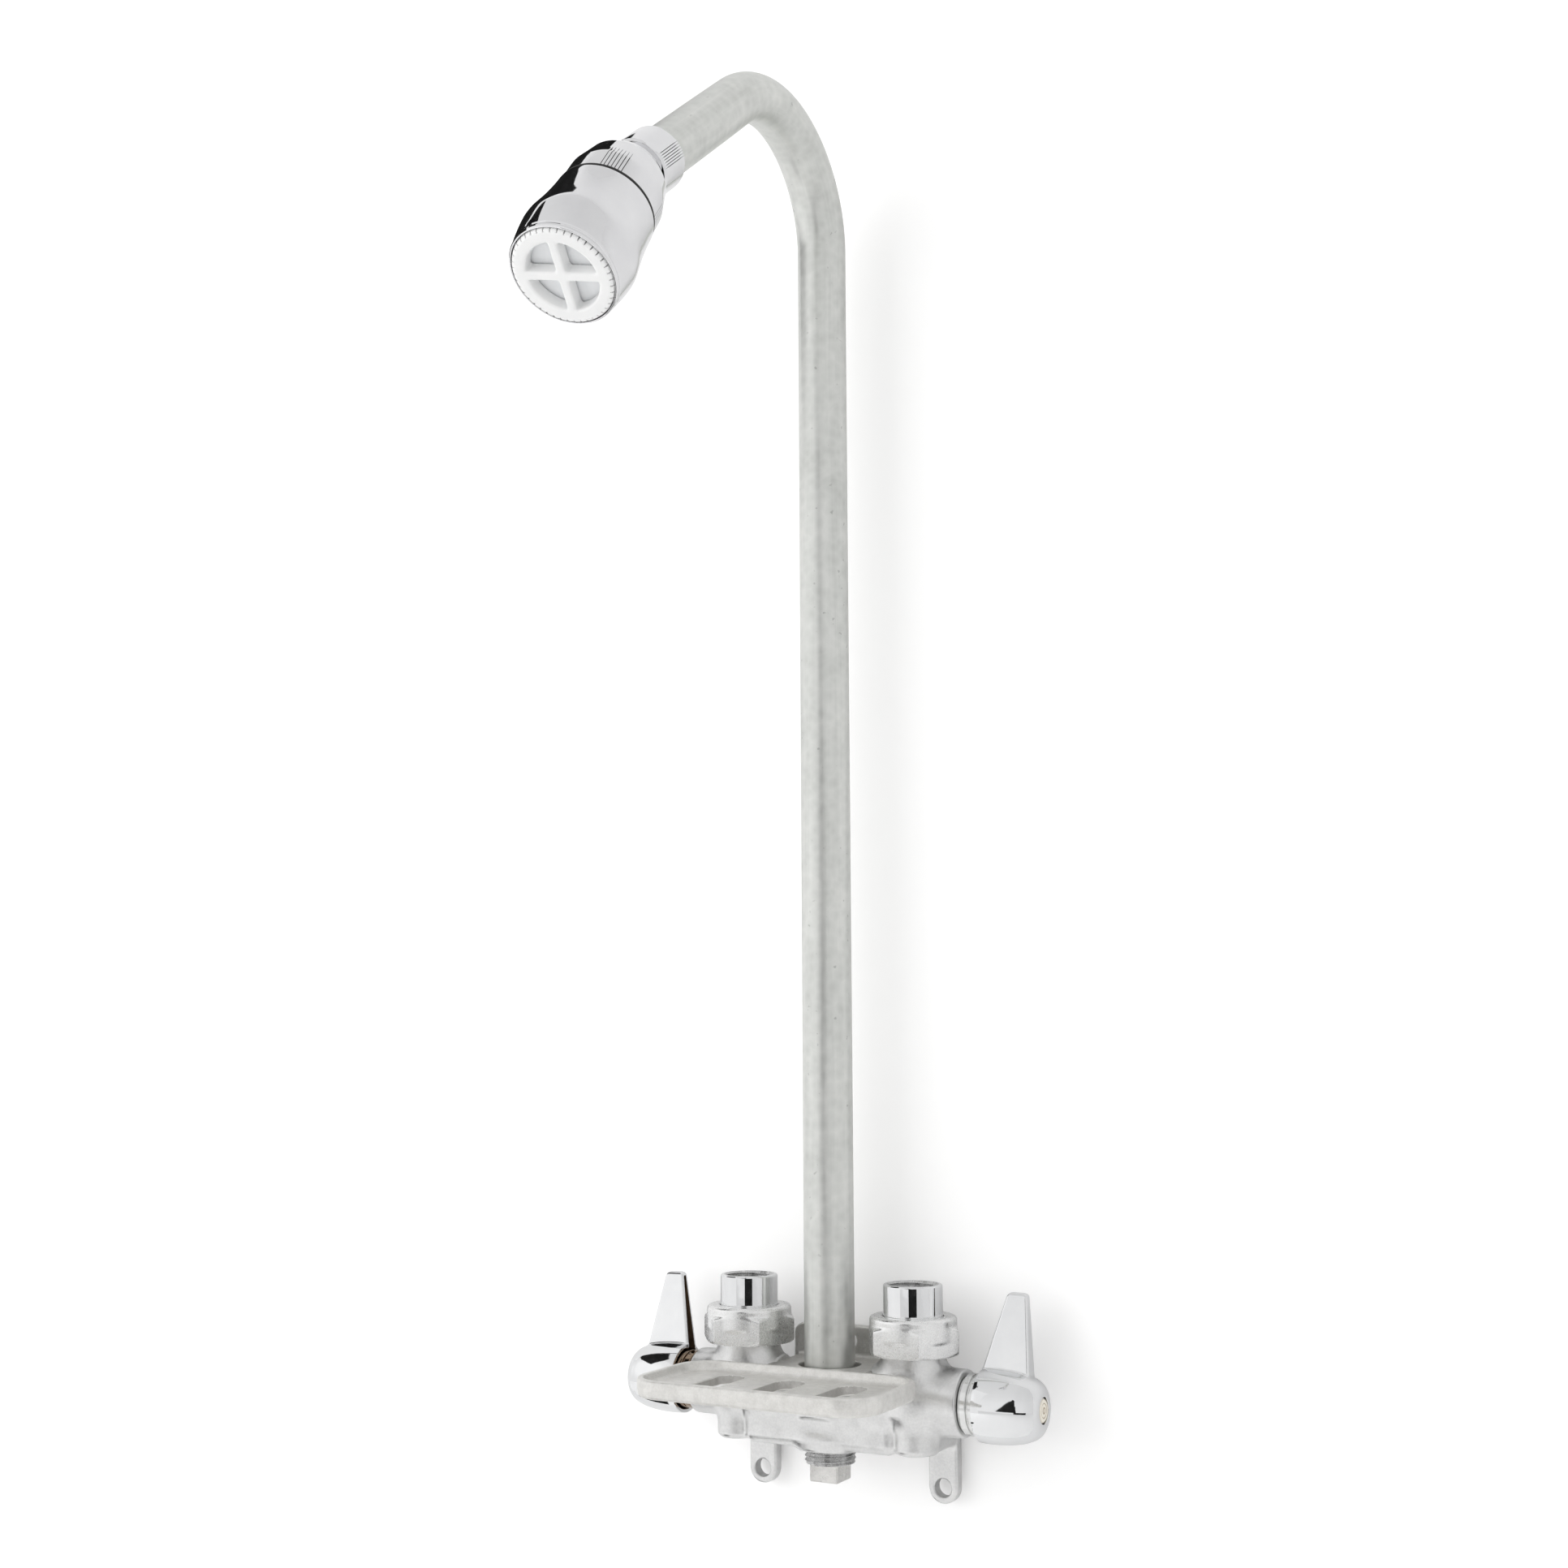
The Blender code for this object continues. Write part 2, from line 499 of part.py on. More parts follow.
SEAT_R = 12.8
sph = [(math.sqrt(SEAT_R ** 2 - z * z), z) for z in [-1.7 + (6.4 + 1.7) * i / 4 for i in range(5)]]
put(lathe("head_housing",
          [(13.2, 6.4), (14.1, 5.8), (16.6, t(62)), (18.3, t(55)), (19.2, t(49)), (19.3, t(42.3)),
           (17.6, t(42.3)), (17.6, t(26)), (14.6, t(26)), (14.6, -1.7)] + sph, 24,
          material("head_housing_chrome", (0.78, 0.78, 0.79), 0.07, 1.0)), head_axis)
ret = [(math.sqrt(SEAT_R ** 2 - z * z), z) for z in [-8.3 + 6.3 * i / 4 for i in range(5)]]
put(lathe("ball_retainer", [(14.3, -2.0), (14.3, -10.4), (8.9, -10.4)] + ret, 22,
          material("retainer_brass", (0.70, 0.55, 0.28), 0.35, 1.0)), head_axis)
core = lathe("spray_core",
             [(0, t(49)), (14.3, t(49)), (14.3, t(46)), (3.4, t(46)), (3.4, t(14)), (6.5, t(10)), (6.5, t(8.5)),
              (0, t(8.5))], 18, material("core_plastic", (0.82, 0.84, 0.86), 0.4, 0.0), closed=False)
for i in range(4):
    a = math.radians(90 * i)
    cut(core, rod("core_port_%d" % i, 2.4, (8.8 * math.cos(a), 8.8 * math.sin(a), t(40)),
                  (8.8 * math.cos(a), 8.8 * math.sin(a), t(55)), 8))
put_tools(core, head_axis)
put(lathe("joint_ring", [(17.9, t(42.0)), (19.7, t(42.0)), (19.7, t(41.0)), (17.9, t(41.0))], 28,
          material("joint_ring_rubber", (0.05, 0.05, 0.05), 0.6, 0.0)), head_axis)
put(lathe("spray_shell",
          [(17.9, t(40.7)), (19.9, t(40.7)), (20.2, t(35)), (20.6, t(27)), (21.9, t(22)), (22.8, t(18)),
           (22.8, t(15)), (22.3, t(11)), (21.6, t(5)), (21.0, t(1)), (20.8, t(0.3)), (20.1, t(0.0)),
           (20.1, t(7.0)), (18.2, t(7.0)), (18.2, t(24)), (17.9, t(25))], 28,
          material("spray_shell_chrome", (0.80, 0.80, 0.81), 0.06, 1.0)), head_axis)
face = lathe("face_insert", [(0, t(4.5)), (19.8, t(4.5)), (19.8, t(0.0)), (18.6, t(-0.9)), (0, t(-0.9))], 32,
             material("face_white_plastic", (0.88, 0.88, 0.87), 0.35, 0.0), closed=False)
for i in range(4):
    # one quarter window: a disc segment cut free by two straight sides
    w = rod("face_window_%d" % i, 14.2, (0, 0, t(-5)), (0, 0, t(10)), 24)
    q = box("face_quarter_%d" % i, 2.1, 20, 2.1, 20, t(-6), t(11))
    boolean(w, q, 'INTERSECT')
    for o in (w, q):
        o.rotation_euler = (0, 0, math.radians(90 * i + 12))
    cut(face, w)
put_tools(face, head_axis)
put(lathe("jet_plate", [(0, t(6.7)), (18.9, t(6.7)), (18.9, t(4.8)), (0, t(4.8))], 28,
          material("jet_plate_plastic", (0.72, 0.76, 0.80), 0.4, 0.0), closed=False), head_axis)
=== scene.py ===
import math

import bpy
import numpy as np
from mathutils import Matrix, Vector


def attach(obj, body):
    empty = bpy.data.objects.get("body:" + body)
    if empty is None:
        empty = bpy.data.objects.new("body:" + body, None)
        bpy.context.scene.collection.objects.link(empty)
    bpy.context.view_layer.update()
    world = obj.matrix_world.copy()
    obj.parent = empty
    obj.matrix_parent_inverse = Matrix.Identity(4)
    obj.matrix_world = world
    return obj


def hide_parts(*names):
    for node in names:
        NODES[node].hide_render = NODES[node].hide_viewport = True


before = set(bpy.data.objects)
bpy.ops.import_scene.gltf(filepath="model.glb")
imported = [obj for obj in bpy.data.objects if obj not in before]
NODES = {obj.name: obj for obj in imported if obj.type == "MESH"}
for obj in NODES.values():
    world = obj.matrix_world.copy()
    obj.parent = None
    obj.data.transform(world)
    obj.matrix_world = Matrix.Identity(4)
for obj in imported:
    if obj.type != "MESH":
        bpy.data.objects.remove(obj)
bpy.context.view_layer.update()

# ------------------------------------------------------------------ frames
# Pieces are drawn in millimetres from the deck datum, as in the CAD, and stored in metres in the row frame.
BASE = np.array([0.0, -24.5, 50.0])
AXIS_Z = -11.3
INLET_X = 38.75
BALL = np.array([0.0, -163.7, 456.28])
ARM_DIR = Vector((0.0, 0.781, 0.6245)).normalized()
HEAD_DIR = Vector((0.0348, 0.5955, 0.8026)).normalized()
FACE_DIST = 60.3


def rot_to(direction):
    return np.array(Vector((0, 0, 1)).rotation_difference(direction).to_matrix())


DECK = (np.eye(3), BASE)
HEAD = (rot_to(HEAD_DIR), BASE + BALL)
ARM = (rot_to(ARM_DIR), BASE + BALL)
LEFT_AXIS = (np.array([[0, 0, -1.0], [0, 1, 0], [1, 0, 0]]), BASE + np.array([0, 0, AXIS_Z]))     # local Z points to -X
RIGHT_AXIS = (np.array([[0, 0, 1.0], [0, 1, 0], [-1, 0, 0]]), BASE + np.array([0, 0, AXIS_Z]))    # local Z points to +X


def t(d):
    return d - FACE_DIST


# ------------------------------------------------------------------ mesh helpers
def new_mesh(name, verts, faces, place, mats, normals=None, mat_index=None):
    """verts in millimetres in the frame place = (rotation, origin); faces is an n x 4 array, or a list of arrays."""
    rot, origin = place
    co = (np.asarray(verts, float) @ rot.T + origin) * 0.001
    me = bpy.data.meshes.new(name)
    if isinstance(faces, np.ndarray):
        loops = faces.reshape(-1)
        counts = np.full(len(faces), faces.shape[1])
    else:
        loops = np.concatenate([np.asarray(f) for f in faces])
        counts = np.array([len(f) for f in faces])
    me.vertices.add(len(co))
    me.vertices.foreach_set("co", co.ravel())
    me.loops.add(len(loops))
    me.loops.foreach_set("vertex_index", loops.astype(np.int32))
    me.polygons.add(len(counts))
    starts = np.concatenate([[0], np.cumsum(counts)[:-1]])
    me.polygons.foreach_set("loop_start", starts.astype(np.int32))
    me.update(calc_edges=True)
    me.validate()
    for m in mats:
        me.materials.append(m)
    me.polygons.foreach_set("use_smooth", np.ones(len(me.polygons), bool))
    if mat_index is not None:
        me.polygons.foreach_set("material_index", np.asarray(mat_index, np.int32))
    if normals is not None:
        nn = np.asarray(normals, float) @ rot.T
        nn /= np.maximum(np.linalg.norm(nn, axis=1, keepdims=True), 1e-9)
        me.normals_split_custom_set_from_vertices([tuple(v) for v in nn])
    ob = bpy.data.objects.new(name, me)
    bpy.context.scene.collection.objects.link(ob)
    return ob


def rounded(profile, rad=0.25, n=4, closed=True):
    """A turned profile (r, z[, radius]) with every real corner rounded. Returns points and outward normals."""
    pts = [(p[0], p[1], p[2] if len(p) > 2 else rad) for p in profile]
    area = 0.0
    for i in range(len(pts)):
        a, b = pts[i], pts[(i + 1) % len(pts)]
        area += a[0] * b[1] - b[0] * a[1]
    if area < 0:
        pts = pts[::-1]
    out, nor = [], []
    count = len(pts)
    for i in range(count):
        c = np.array(pts[i][:2])
        first, last = (not closed and i == 0), (not closed and i == count - 1)
        p = np.array(pts[(i - 1) % count][:2])
        q = np.array(pts[(i + 1) % count][:2])
        if first:
            p = c - (q - c)
        if last:
            q = c + (c - p)
        l1, l2 = np.linalg.norm(c - p), np.linalg.norm(q - c)
        d1, d2 = (c - p) / l1, (q - c) / l2
        a1 = math.atan2(d1[1], d1[0])
        turn = math.atan2(d1[0] * d2[1] - d1[1] * d2[0], float(d1 @ d2))
        if abs(turn) < math.radians(14) or first or last:
            a = a1 + turn / 2
            out.append(c)
            nor.append((math.sin(a), -math.cos(a)))
            continue
        half = math.tan(abs(turn) / 2)
        tl = min(pts[i][2] * half, 0.45 * min(l1, l2))
        rr = tl / half
        s = c - d1 * tl
        n1 = np.array([math.sin(a1), -math.cos(a1)])
        sign = 1 if turn > 0 else -1
        centre = s - sign * n1 * rr
        for k in range(n + 1):
            a = a1 + turn * k / n
            nk = np.array([math.sin(a), -math.cos(a)])
            out.append(centre + sign * nk * rr)
            nor.append(tuple(nk))
    return np.array(out), np.array(nor)


def spline(points, n=6):
    """Catmull-Rom through (r, z) points."""
    p = np.array(points, float)
    p = np.vstack([2 * p[0] - p[1], p, 2 * p[-1] - p[-2]])
    out = []
    for i in range(1, len(p) - 2):
        for k in range(n):
            s = k / n
            out.append(0.5 * ((2 * p[i]) + (-p[i - 1] + p[i + 1]) * s + (2 * p[i - 1] - 5 * p[i] + 4 * p[i + 1] - p[i + 2]) * s * s
                              + (-p[i - 1] + 3 * p[i] - 3 * p[i + 1] + p[i + 2]) * s ** 3))
    out.append(p[-2])
    return [tuple(v) for v in out]


def turned(name, profile, place, mats, steps=128, rad=0.25, closed=True, shape=None, thetas=None, pick=None, nround=4, deep=None):
    """A turned piece. shape(r, z, theta) may move the surface in or out; pick(r, z) chooses the material."""
    pts, nor = rounded(profile, rad, nround, closed)
    th = np.linspace(0, 2 * math.pi, steps, endpoint=False) if thetas is None else np.asarray(thetas)
    m, k = len(pts), len(th)
    r = np.repeat(pts[:, :1], k, axis=1)
    z = np.repeat(pts[:, 1:2], k, axis=1)
    T = np.repeat(th[None, :], m, axis=0)
    r0 = r.copy()
    if shape is not None:
        r = shape(r, z, T)
    X = np.stack([r * np.cos(T), r * np.sin(T), z], axis=-1)
    N = np.stack([nor[:, :1] * np.cos(T), nor[:, :1] * np.sin(T), np.repeat(nor[:, 1:2], k, axis=1)], axis=-1)
    if shape is not None:
        dth = np.roll(X, -1, axis=1) - np.roll(X, 1, axis=1)
        if closed:
            dz = np.roll(X, -1, axis=0) - np.roll(X, 1, axis=0)
        else:
            dz = np.gradient(X, axis=0)
        G = np.cross(dth, dz)
        G /= np.maximum(np.linalg.norm(G, axis=-1, keepdims=True), 1e-12)
        G *= np.sign((G * N).sum(-1, keepdims=True) + 1e-12)
        moved = np.abs(r - r0) > 1e-5
        near = moved | np.roll(moved, 1, 0) | np.roll(moved, -1, 0) | np.roll(moved, 1, 1) | np.roll(moved, -1, 1)
        N = np.where(near[..., None], G, N)
    idx = np.arange(m * k).reshape(m, k)
    rows = m if closed else m - 1
    i = np.arange(rows)
    a = idx[i][:, :]
    b = idx[(i + 1) % m][:, :]
    quads = np.stack([a, np.roll(a, -1, axis=1), np.roll(b, -1, axis=1), b], axis=-1).reshape(-1, 4)
    V = X.reshape(-1, 3)
    NN = N.reshape(-1, 3)
    # orientation, tested over all faces
    g = np.cross(V[quads[:, 1]] - V[quads[:, 0]], V[quads[:, 3]] - V[quads[:, 0]])
    if (g * NN[quads[:, 0]]).sum() < 0:
        quads = quads[:, ::-1]
    rz = pts
    mi = None
    faces = quads
    if pick is not None:
        mid_r = (rz[i][:, 0] + rz[(i + 1) % m][:, 0]) / 2
        mid_z = (rz[i][:, 1] + rz[(i + 1) % m][:, 1]) / 2
        row_m = np.array([pick(rr, zz) for rr, zz in zip(mid_r, mid_z)])
        mi = np.repeat(row_m, k)
    # faces sunk deeper than 0.12 mm take the last material: near-black painted shade on the groove floors
    if deep is not None:
        D = deep(r0, z, T)
        Dn = np.roll(D, -1, axis=1)
        mean = ((D + Dn + np.roll(D, -1, axis=0) + np.roll(Dn, -1, axis=0)) / 4)[:rows].reshape(-1)
        mi = np.where(mean > 0.12, len(mats) - 1, 0 if mi is None else mi)
    if not closed:
        # merge the axis rings into poles
        faces, mi2 = [], []
        remap = np.arange(len(V))
        for ring in (0, m - 1):
            if rz[ring, 0] < 1e-6:
                remap[idx[ring]] = idx[ring][0]
        Q = remap[quads]
        for j, f in enumerate(Q):
            u = [f[0]]
            for v in f[1:]:
                if v != u[-1]:
                    u.append(v)
            if u[0] == u[-1]:
                u = u[:-1]
            if len(u) > 2:
                faces.append(np.array(u))
                if mi is not None:
                    mi2.append(mi[j])
        used = np.unique(np.concatenate(faces))
        back = np.full(len(V), -1)
        back[used] = np.arange(len(used))
        faces = [back[f] for f in faces]
        V, NN = V[used], NN[used]
        mi = mi2 if mi is not None else None
        for ring in (0, m - 1):
            if rz[ring, 0] < 1e-6:
                NN[back[idx[ring][0]]] = (0, 0, nor[ring][1])
    return new_mesh(name, V, faces, place, mats, NN, mi)


def nets(sdf, lo, hi, h):
    """Surface nets of a signed distance field, its vertices then moved onto the surface. Returns vertices, quads, normals."""
    lo, hi = np.array(lo, float), np.array(hi, float)
    n = np.ceil((hi - lo) / h).astype(int) + 1
    ax = [lo[i] + h * np.arange(n[i]) for i in range(3)]
    F = np.empty(n, np.float32)
    block = max(1, int(1.5e6 // (n[1] * n[2])))
    for s in range(0, n[0], block):
        gx, gy, gz = np.meshgrid(ax[0][s:s + block], ax[1], ax[2], indexing="ij")
        F[s:s + block] = sdf(gx, gy, gz)
    inside = F < 0
    c = [slice(0, -1), slice(1, None)]
    corners = {}
    mixed_any = np.zeros(n - 1, bool)
    mixed_all = np.ones(n - 1, bool)
    for i in (0, 1):
        for j in (0, 1):
            for k in (0, 1):
                cc = inside[c[i], c[j], c[k]]
                mixed_any |= cc
                mixed_all &= cc
                corners[(i, j, k)] = F[c[i], c[j], c[k]]
    cells = np.argwhere(mixed_any & ~mixed_all)
    ci = tuple(cells.T)
    total = np.zeros((len(cells), 3))
    count = np.zeros(len(cells))
    for a in corners:
        for axis in range(3):
            if a[axis] == 0:
                b = list(a)
                b[axis] = 1
                fa, fb = corners[a][ci], corners[tuple(b)][ci]
                cross = (fa < 0) != (fb < 0)
                s = np.where(cross, fa / np.where(cross, fa - fb, 1), 0)
                p = np.tile(np.array(a, float), (len(cells), 1))
                p[:, axis] += s
                total += np.where(cross[:, None], p, 0)
                count += cross
    V = lo + h * (cells + total / count[:, None])
    index = np.full(n - 1, -1, np.int64)
    index[ci] = np.arange(len(cells))
    quads = []
    for axis in range(3):
        o1, o2 = (axis + 1) % 3, (axis + 2) % 3
        sl_a = [slice(None)] * 3
        sl_b = [slice(None)] * 3
        sl_a[axis], sl_b[axis] = slice(0, -1), slice(1, None)
        A, B = inside[tuple(sl_a)], inside[tuple(sl_b)]
        e = np.argwhere(A != B)
        keep = (e[:, o1] > 0) & (e[:, o2] > 0) & (e[:, o1] < n[o1] - 1) & (e[:, o2] < n[o2] - 1)
        e = e[keep]
        flip = A[tuple(e.T)]
        def at(d1, d2):
            v = e.copy()
            v[:, o1] += d1
            v[:, o2] += d2
            return index[tuple(v.T)]
        q = np.stack([at(-1, -1), at(0, -1), at(0, 0), at(-1, 0)], axis=1)
        q[~flip] = q[~flip][:, ::-1]
        quads.append(q)
    quads = np.vstack(quads)

    def grad(P, eps):
        g = np.empty_like(P)
        for a in range(3):
            d = np.zeros(3)
            d[a] = eps
            g[:, a] = (sdf(*(P + d).T) - sdf(*(P - d).T)) / (2 * eps)
        return g
    for _ in range(4):
        f = sdf(*V.T)
        g = grad(V, 0.02)
        step = f[:, None] * g / np.maximum((g * g).sum(1), 0.2)[:, None]
        V = V - np.clip(step, -0.5 * h, 0.5 * h)
    g = grad(V, 0.03)
    return V, quads, g


def field(name, sdf, lo, hi, h, place, mats, pick=None):
    V, Q, N = nets(sdf, lo, hi, h)
    mi = None
    if pick is not None:
        mi = pick(V[Q].mean(axis=1), N[Q].mean(axis=1))
    return new_mesh(name, V, Q, place, mats, N, mi)


# ------------------------------------------------------------------ distance fields (millimetres)
def smin(a, b, k):
    h = np.maximum(k - np.abs(a - b), 0) / k
    return np.minimum(a, b) - h * h * k * 0.25


def smax(a, b, k):
    return -smin(-a, -b, k)


def rbox(x, y, z, x0, x1, y0, y1, z0, z1, r):
    qx = np.abs(x - (x0 + x1) / 2) - (x1 - x0) / 2 + r
    qy = np.abs(y - (y0 + y1) / 2) - (y1 - y0) / 2 + r
    qz = np.abs(z - (z0 + z1) / 2) - (z1 - z0) / 2 + r
    return np.sqrt(np.maximum(qx, 0) ** 2 + np.maximum(qy, 0) ** 2 + np.maximum(qz, 0) ** 2) + np.minimum(np.maximum(np.maximum(qx, qy), qz), 0) - r


def tube(rho, s, rad, s0, s1, r):
    """A rounded cylinder; rho is the distance from its axis and s the place along it."""
    qr = rho - rad + r
    qs = np.abs(s - (s0 + s1) / 2) - (s1 - s0) / 2 + r
    return np.sqrt(np.maximum(qr, 0) ** 2 + np.maximum(qs, 0) ** 2) + np.minimum(np.maximum(qr, qs), 0) - r


def rect(u, v, u0, u1, v0, v1, r):
    qu = np.abs(u - (u0 + u1) / 2) - (u1 - u0) / 2 + r
    qv = np.abs(v - (v0 + v1) / 2) - (v1 - v0) / 2 + r
    return np.sqrt(np.maximum(qu, 0) ** 2 + np.maximum(qv, 0) ** 2) + np.minimum(np.maximum(qu, qv), 0) - r


def hyp(a, b):
    return np.sqrt(a * a + b * b)


def poly2(points, u, v):
    """Exact distance to a closed polygon in (u, v), negative inside."""
    p = np.array(points, float)
    best = np.full(u.shape, 1e9)
    sign = np.ones(u.shape)
    for i in range(len(p)):
        a, b = p[i], p[i - 1]
        ex, ey = b[0] - a[0], b[1] - a[1]
        wx, wy = u - a[0], v - a[1]
        s = np.clip((wx * ex + wy * ey) / (ex * ex + ey * ey), 0, 1)
        dx, dy = wx - ex * s, wy - ey * s
        best = np.minimum(best, dx * dx + dy * dy)
        c1, c2, c3 = v >= a[1], v < b[1], ex * wy > ey * wx
        flip = (c1 & c2 & c3) | (~c1 & ~c2 & ~c3)
        sign = np.where(flip, -sign, sign)
    return sign * np.sqrt(best)


# ------------------------------------------------------------------ materials
def nodes_of(name):
    m = bpy.data.materials.new(name)
    m.use_nodes = True
    nt = m.node_tree
    for nd in list(nt.nodes):
        nt.nodes.remove(nd)
    out = nt.nodes.new("ShaderNodeOutputMaterial")
    b = nt.nodes.new("ShaderNodeBsdfPrincipled")
    nt.links.new(b.outputs[0], out.inputs[0])
    tc = nt.nodes.new("ShaderNodeTexCoord")
    return m, nt, b, tc.outputs["Object"]


def noise(nt, co, scale, detail=2.0, rough=0.5, stretch=None, distortion=0.0):
    if stretch is not None:
        mp = nt.nodes.new("ShaderNodeMapping")
        mp.inputs["Scale"].default_value = stretch
        nt.links.new(co, mp.inputs["Vector"])
        co = mp.outputs[0]
    nd = nt.nodes.new("ShaderNodeTexNoise")
    nd.inputs["Scale"].default_value = scale
    nd.inputs["Detail"].default_value = detail
    nd.inputs["Roughness"].default_value = rough
    nd.inputs["Distortion"].default_value = distortion
    nt.links.new(co, nd.inputs["Vector"])
    return nd.outputs[0]


def voronoi(nt, co, scale, feature="F1"):
    nd = nt.nodes.new("ShaderNodeTexVoronoi")
    nd.feature = feature
    nd.inputs["Scale"].default_value = scale
    nt.links.new(co, nd.inputs["Vector"])
    return nd.outputs["Distance"]


def ramp(nt, fac, stops):
    nd = nt.nodes.new("ShaderNodeValToRGB")
    el = nd.color_ramp.elements
    while len(el) > 1:
        el.remove(el[-1])
    el[0].position, el[0].color = stops[0][0], stops[0][1]
    for pos, col in stops[1:]:
        e = el.new(pos)
        e.color = col
    nt.links.new(fac, nd.inputs[0])
    return nd.outputs[0]


def grey(v):
    return (v, v, v, 1)


def rgb(r, g, b):
    return (r, g, b, 1)


def math_node(nt, op, a, b):
    nd = nt.nodes.new("ShaderNodeMath")
    nd.operation = op
    for i, v in enumerate((a, b)):
        if isinstance(v, (int, float)):
            nd.inputs[i].default_value = v
        else:
            nt.links.new(v, nd.inputs[i])
    return nd.outputs[0]


def bump(nt, bsdf, height, strength, distance, before=None):
    nd = nt.nodes.new("ShaderNodeBump")
    nd.inputs["Strength"].default_value = strength
    nd.inputs["Distance"].default_value = distance
    nt.links.new(height, nd.inputs["Height"])
    if before is not None:
        nt.links.new(before, nd.inputs["Normal"])
    nt.links.new(nd.outputs[0], bsdf.inputs["Normal"])
    return nd.outputs[0]


def polished(name, lo, hi, r0=0.035, r1=0.085, ripple=0.05, scale=60):
    """Mirror chrome: faint haze that varies over the surface, and the slight ripple that plating leaves."""
    m, nt, b, co = nodes_of(name)
    b.inputs["Metallic"].default_value = 1.0
    n1 = noise(nt, co, scale, 4, 0.6)
    nt.links.new(ramp(nt, n1, [(0.3, lo), (0.7, hi)]), b.inputs["Base Color"])
    n2 = noise(nt, co, scale * 5, 3, 0.6)
    nt.links.new(ramp(nt, n2, [(0.35, grey(r0)), (0.75, grey(r1))]), b.inputs["Roughness"])
    bump(nt, b, noise(nt, co, scale * 2.2, 2, 0.5), ripple, 0.0004)
    return m


def rough_chrome(name, lo, hi, r0, r1, grain, strength, distance, fine=2.4, metallic=1.0, mottle=55):
    """Chrome plated straight over a blasted casting: bright, with bead-like grain."""
    m, nt, b, co = nodes_of(name)
    b.inputs["Metallic"].default_value = metallic
    big = noise(nt, co, mottle, 3, 0.6)
    grainy = noise(nt, co, grain * 0.9, 3, 0.6)
    mixed = math_node(nt, "ADD", math_node(nt, "MULTIPLY", big, 0.6), math_node(nt, "MULTIPLY", grainy, 0.4))
    nt.links.new(ramp(nt, mixed, [(0.36, lo), (0.62, hi)]), b.inputs["Base Color"])
    nt.links.new(ramp(nt, grainy, [(0.35, grey(r0)), (0.68, grey(r1))]), b.inputs["Roughness"])
    coarse = noise(nt, co, grain, 2, 0.55)
    cells = voronoi(nt, co, grain * 0.8)
    fineg = noise(nt, co, grain * fine, 2, 0.5)
    h = math_node(nt, "ADD", math_node(nt, "ADD", coarse, math_node(nt, "MULTIPLY", cells, -0.45)), math_node(nt, "MULTIPLY", fineg, 0.35))
    bump(nt, b, h, strength, distance)
    return m


def galvanised():
    """Hot-dip zinc: dull, streaked along the pipe, with faint spangles, small pits and a green-grey tint."""
    m, nt, b, co = nodes_of("galvanised_zinc")
    at = nt.nodes.new("ShaderNodeAttribute")
    at.attribute_name = "along"
    co = at.outputs["Vector"]
    b.inputs["Metallic"].default_value = 0.82
    streak = noise(nt, co, 1.0, 5, 0.6, stretch=(190, 190, 7), distortion=0.4)
    cloud = noise(nt, co, 42, 4, 0.62, distortion=0.8)
    spangle = voronoi(nt, co, 240)
    mix = math_node(nt, "ADD", math_node(nt, "MULTIPLY", streak, 0.45), math_node(nt, "MULTIPLY", cloud, 0.42))
    mix = math_node(nt, "ADD", mix, math_node(nt, "MULTIPLY", spangle, 0.16))
    col = ramp(nt, mix, [(0.34, rgb(0.58, 0.59, 0.565)), (0.50, rgb(0.68, 0.69, 0.665)), (0.66, rgb(0.78, 0.785, 0.76))])
    pits = ramp(nt, noise(nt, co, 330, 2, 0.5), [(0.24, grey(0.55)), (0.30, grey(1.0))])
    mul = nt.nodes.new("ShaderNodeMix")
    mul.data_type = "RGBA"
    mul.blend_type = "MULTIPLY"
    mul.inputs[0].default_value = 0.6
    nt.links.new(col, mul.inputs[6])
    nt.links.new(pits, mul.inputs[7])
    nt.links.new(mul.outputs[2], b.inputs["Base Color"])
    nt.links.new(ramp(nt, mix, [(0.35, grey(0.30)), (0.65, grey(0.43))]), b.inputs["Roughness"])
    h = math_node(nt, "ADD", math_node(nt, "MULTIPLY", cloud, 0.7), math_node(nt, "MULTIPLY", noise(nt, co, 420, 2, 0.5), 0.18))
    bump(nt, b, h, 0.22, 0.0006)
    return m


def plastic(name, lo, hi, rough, scale=90, coat=0.0, strength=0.06, sub=0.0, sub_rgb=(1, 1, 1)):
    m, nt, b, co = nodes_of(name)
    b.inputs["Metallic"].default_value = 0.0
    n1 = noise(nt, co, scale, 4, 0.6)
    nt.links.new(ramp(nt, n1, [(0.3, lo), (0.7, hi)]), b.inputs["Base Color"])
    n2 = noise(nt, co, scale * 12, 2, 0.5)
    nt.links.new(ramp(nt, n2, [(0.3, grey(rough - 0.05)), (0.7, grey(rough + 0.06))]), b.inputs["Roughness"])
    b.inputs["Coat Weight"].default_value = coat
    if sub:
        b.inputs["Subsurface Weight"].default_value = sub
        b.inputs["Subsurface Radius"].default_value = sub_rgb
        b.inputs["Subsurface Scale"].default_value = 0.0012
    bump(nt, b, n2, strength, 0.0002)
    return m


def machined(name, lo, hi, rough, scale=900, strength=0.15):
    m, nt, b, co = nodes_of(name)
    b.inputs["Metallic"].default_value = 1.0
    n1 = noise(nt, co, 1.0, 3, 0.6, stretch=(scale, scale * 0.12, scale * 0.12))
    nt.links.new(ramp(nt, n1, [(0.3, lo), (0.7, hi)]), b.inputs["Base Color"])
    nt.links.new(ramp(nt, n1, [(0.3, grey(rough - 0.06)), (0.7, grey(rough + 0.08))]), b.inputs["Roughness"])
    bump(nt, b, n1, strength, 0.0002)
    return m


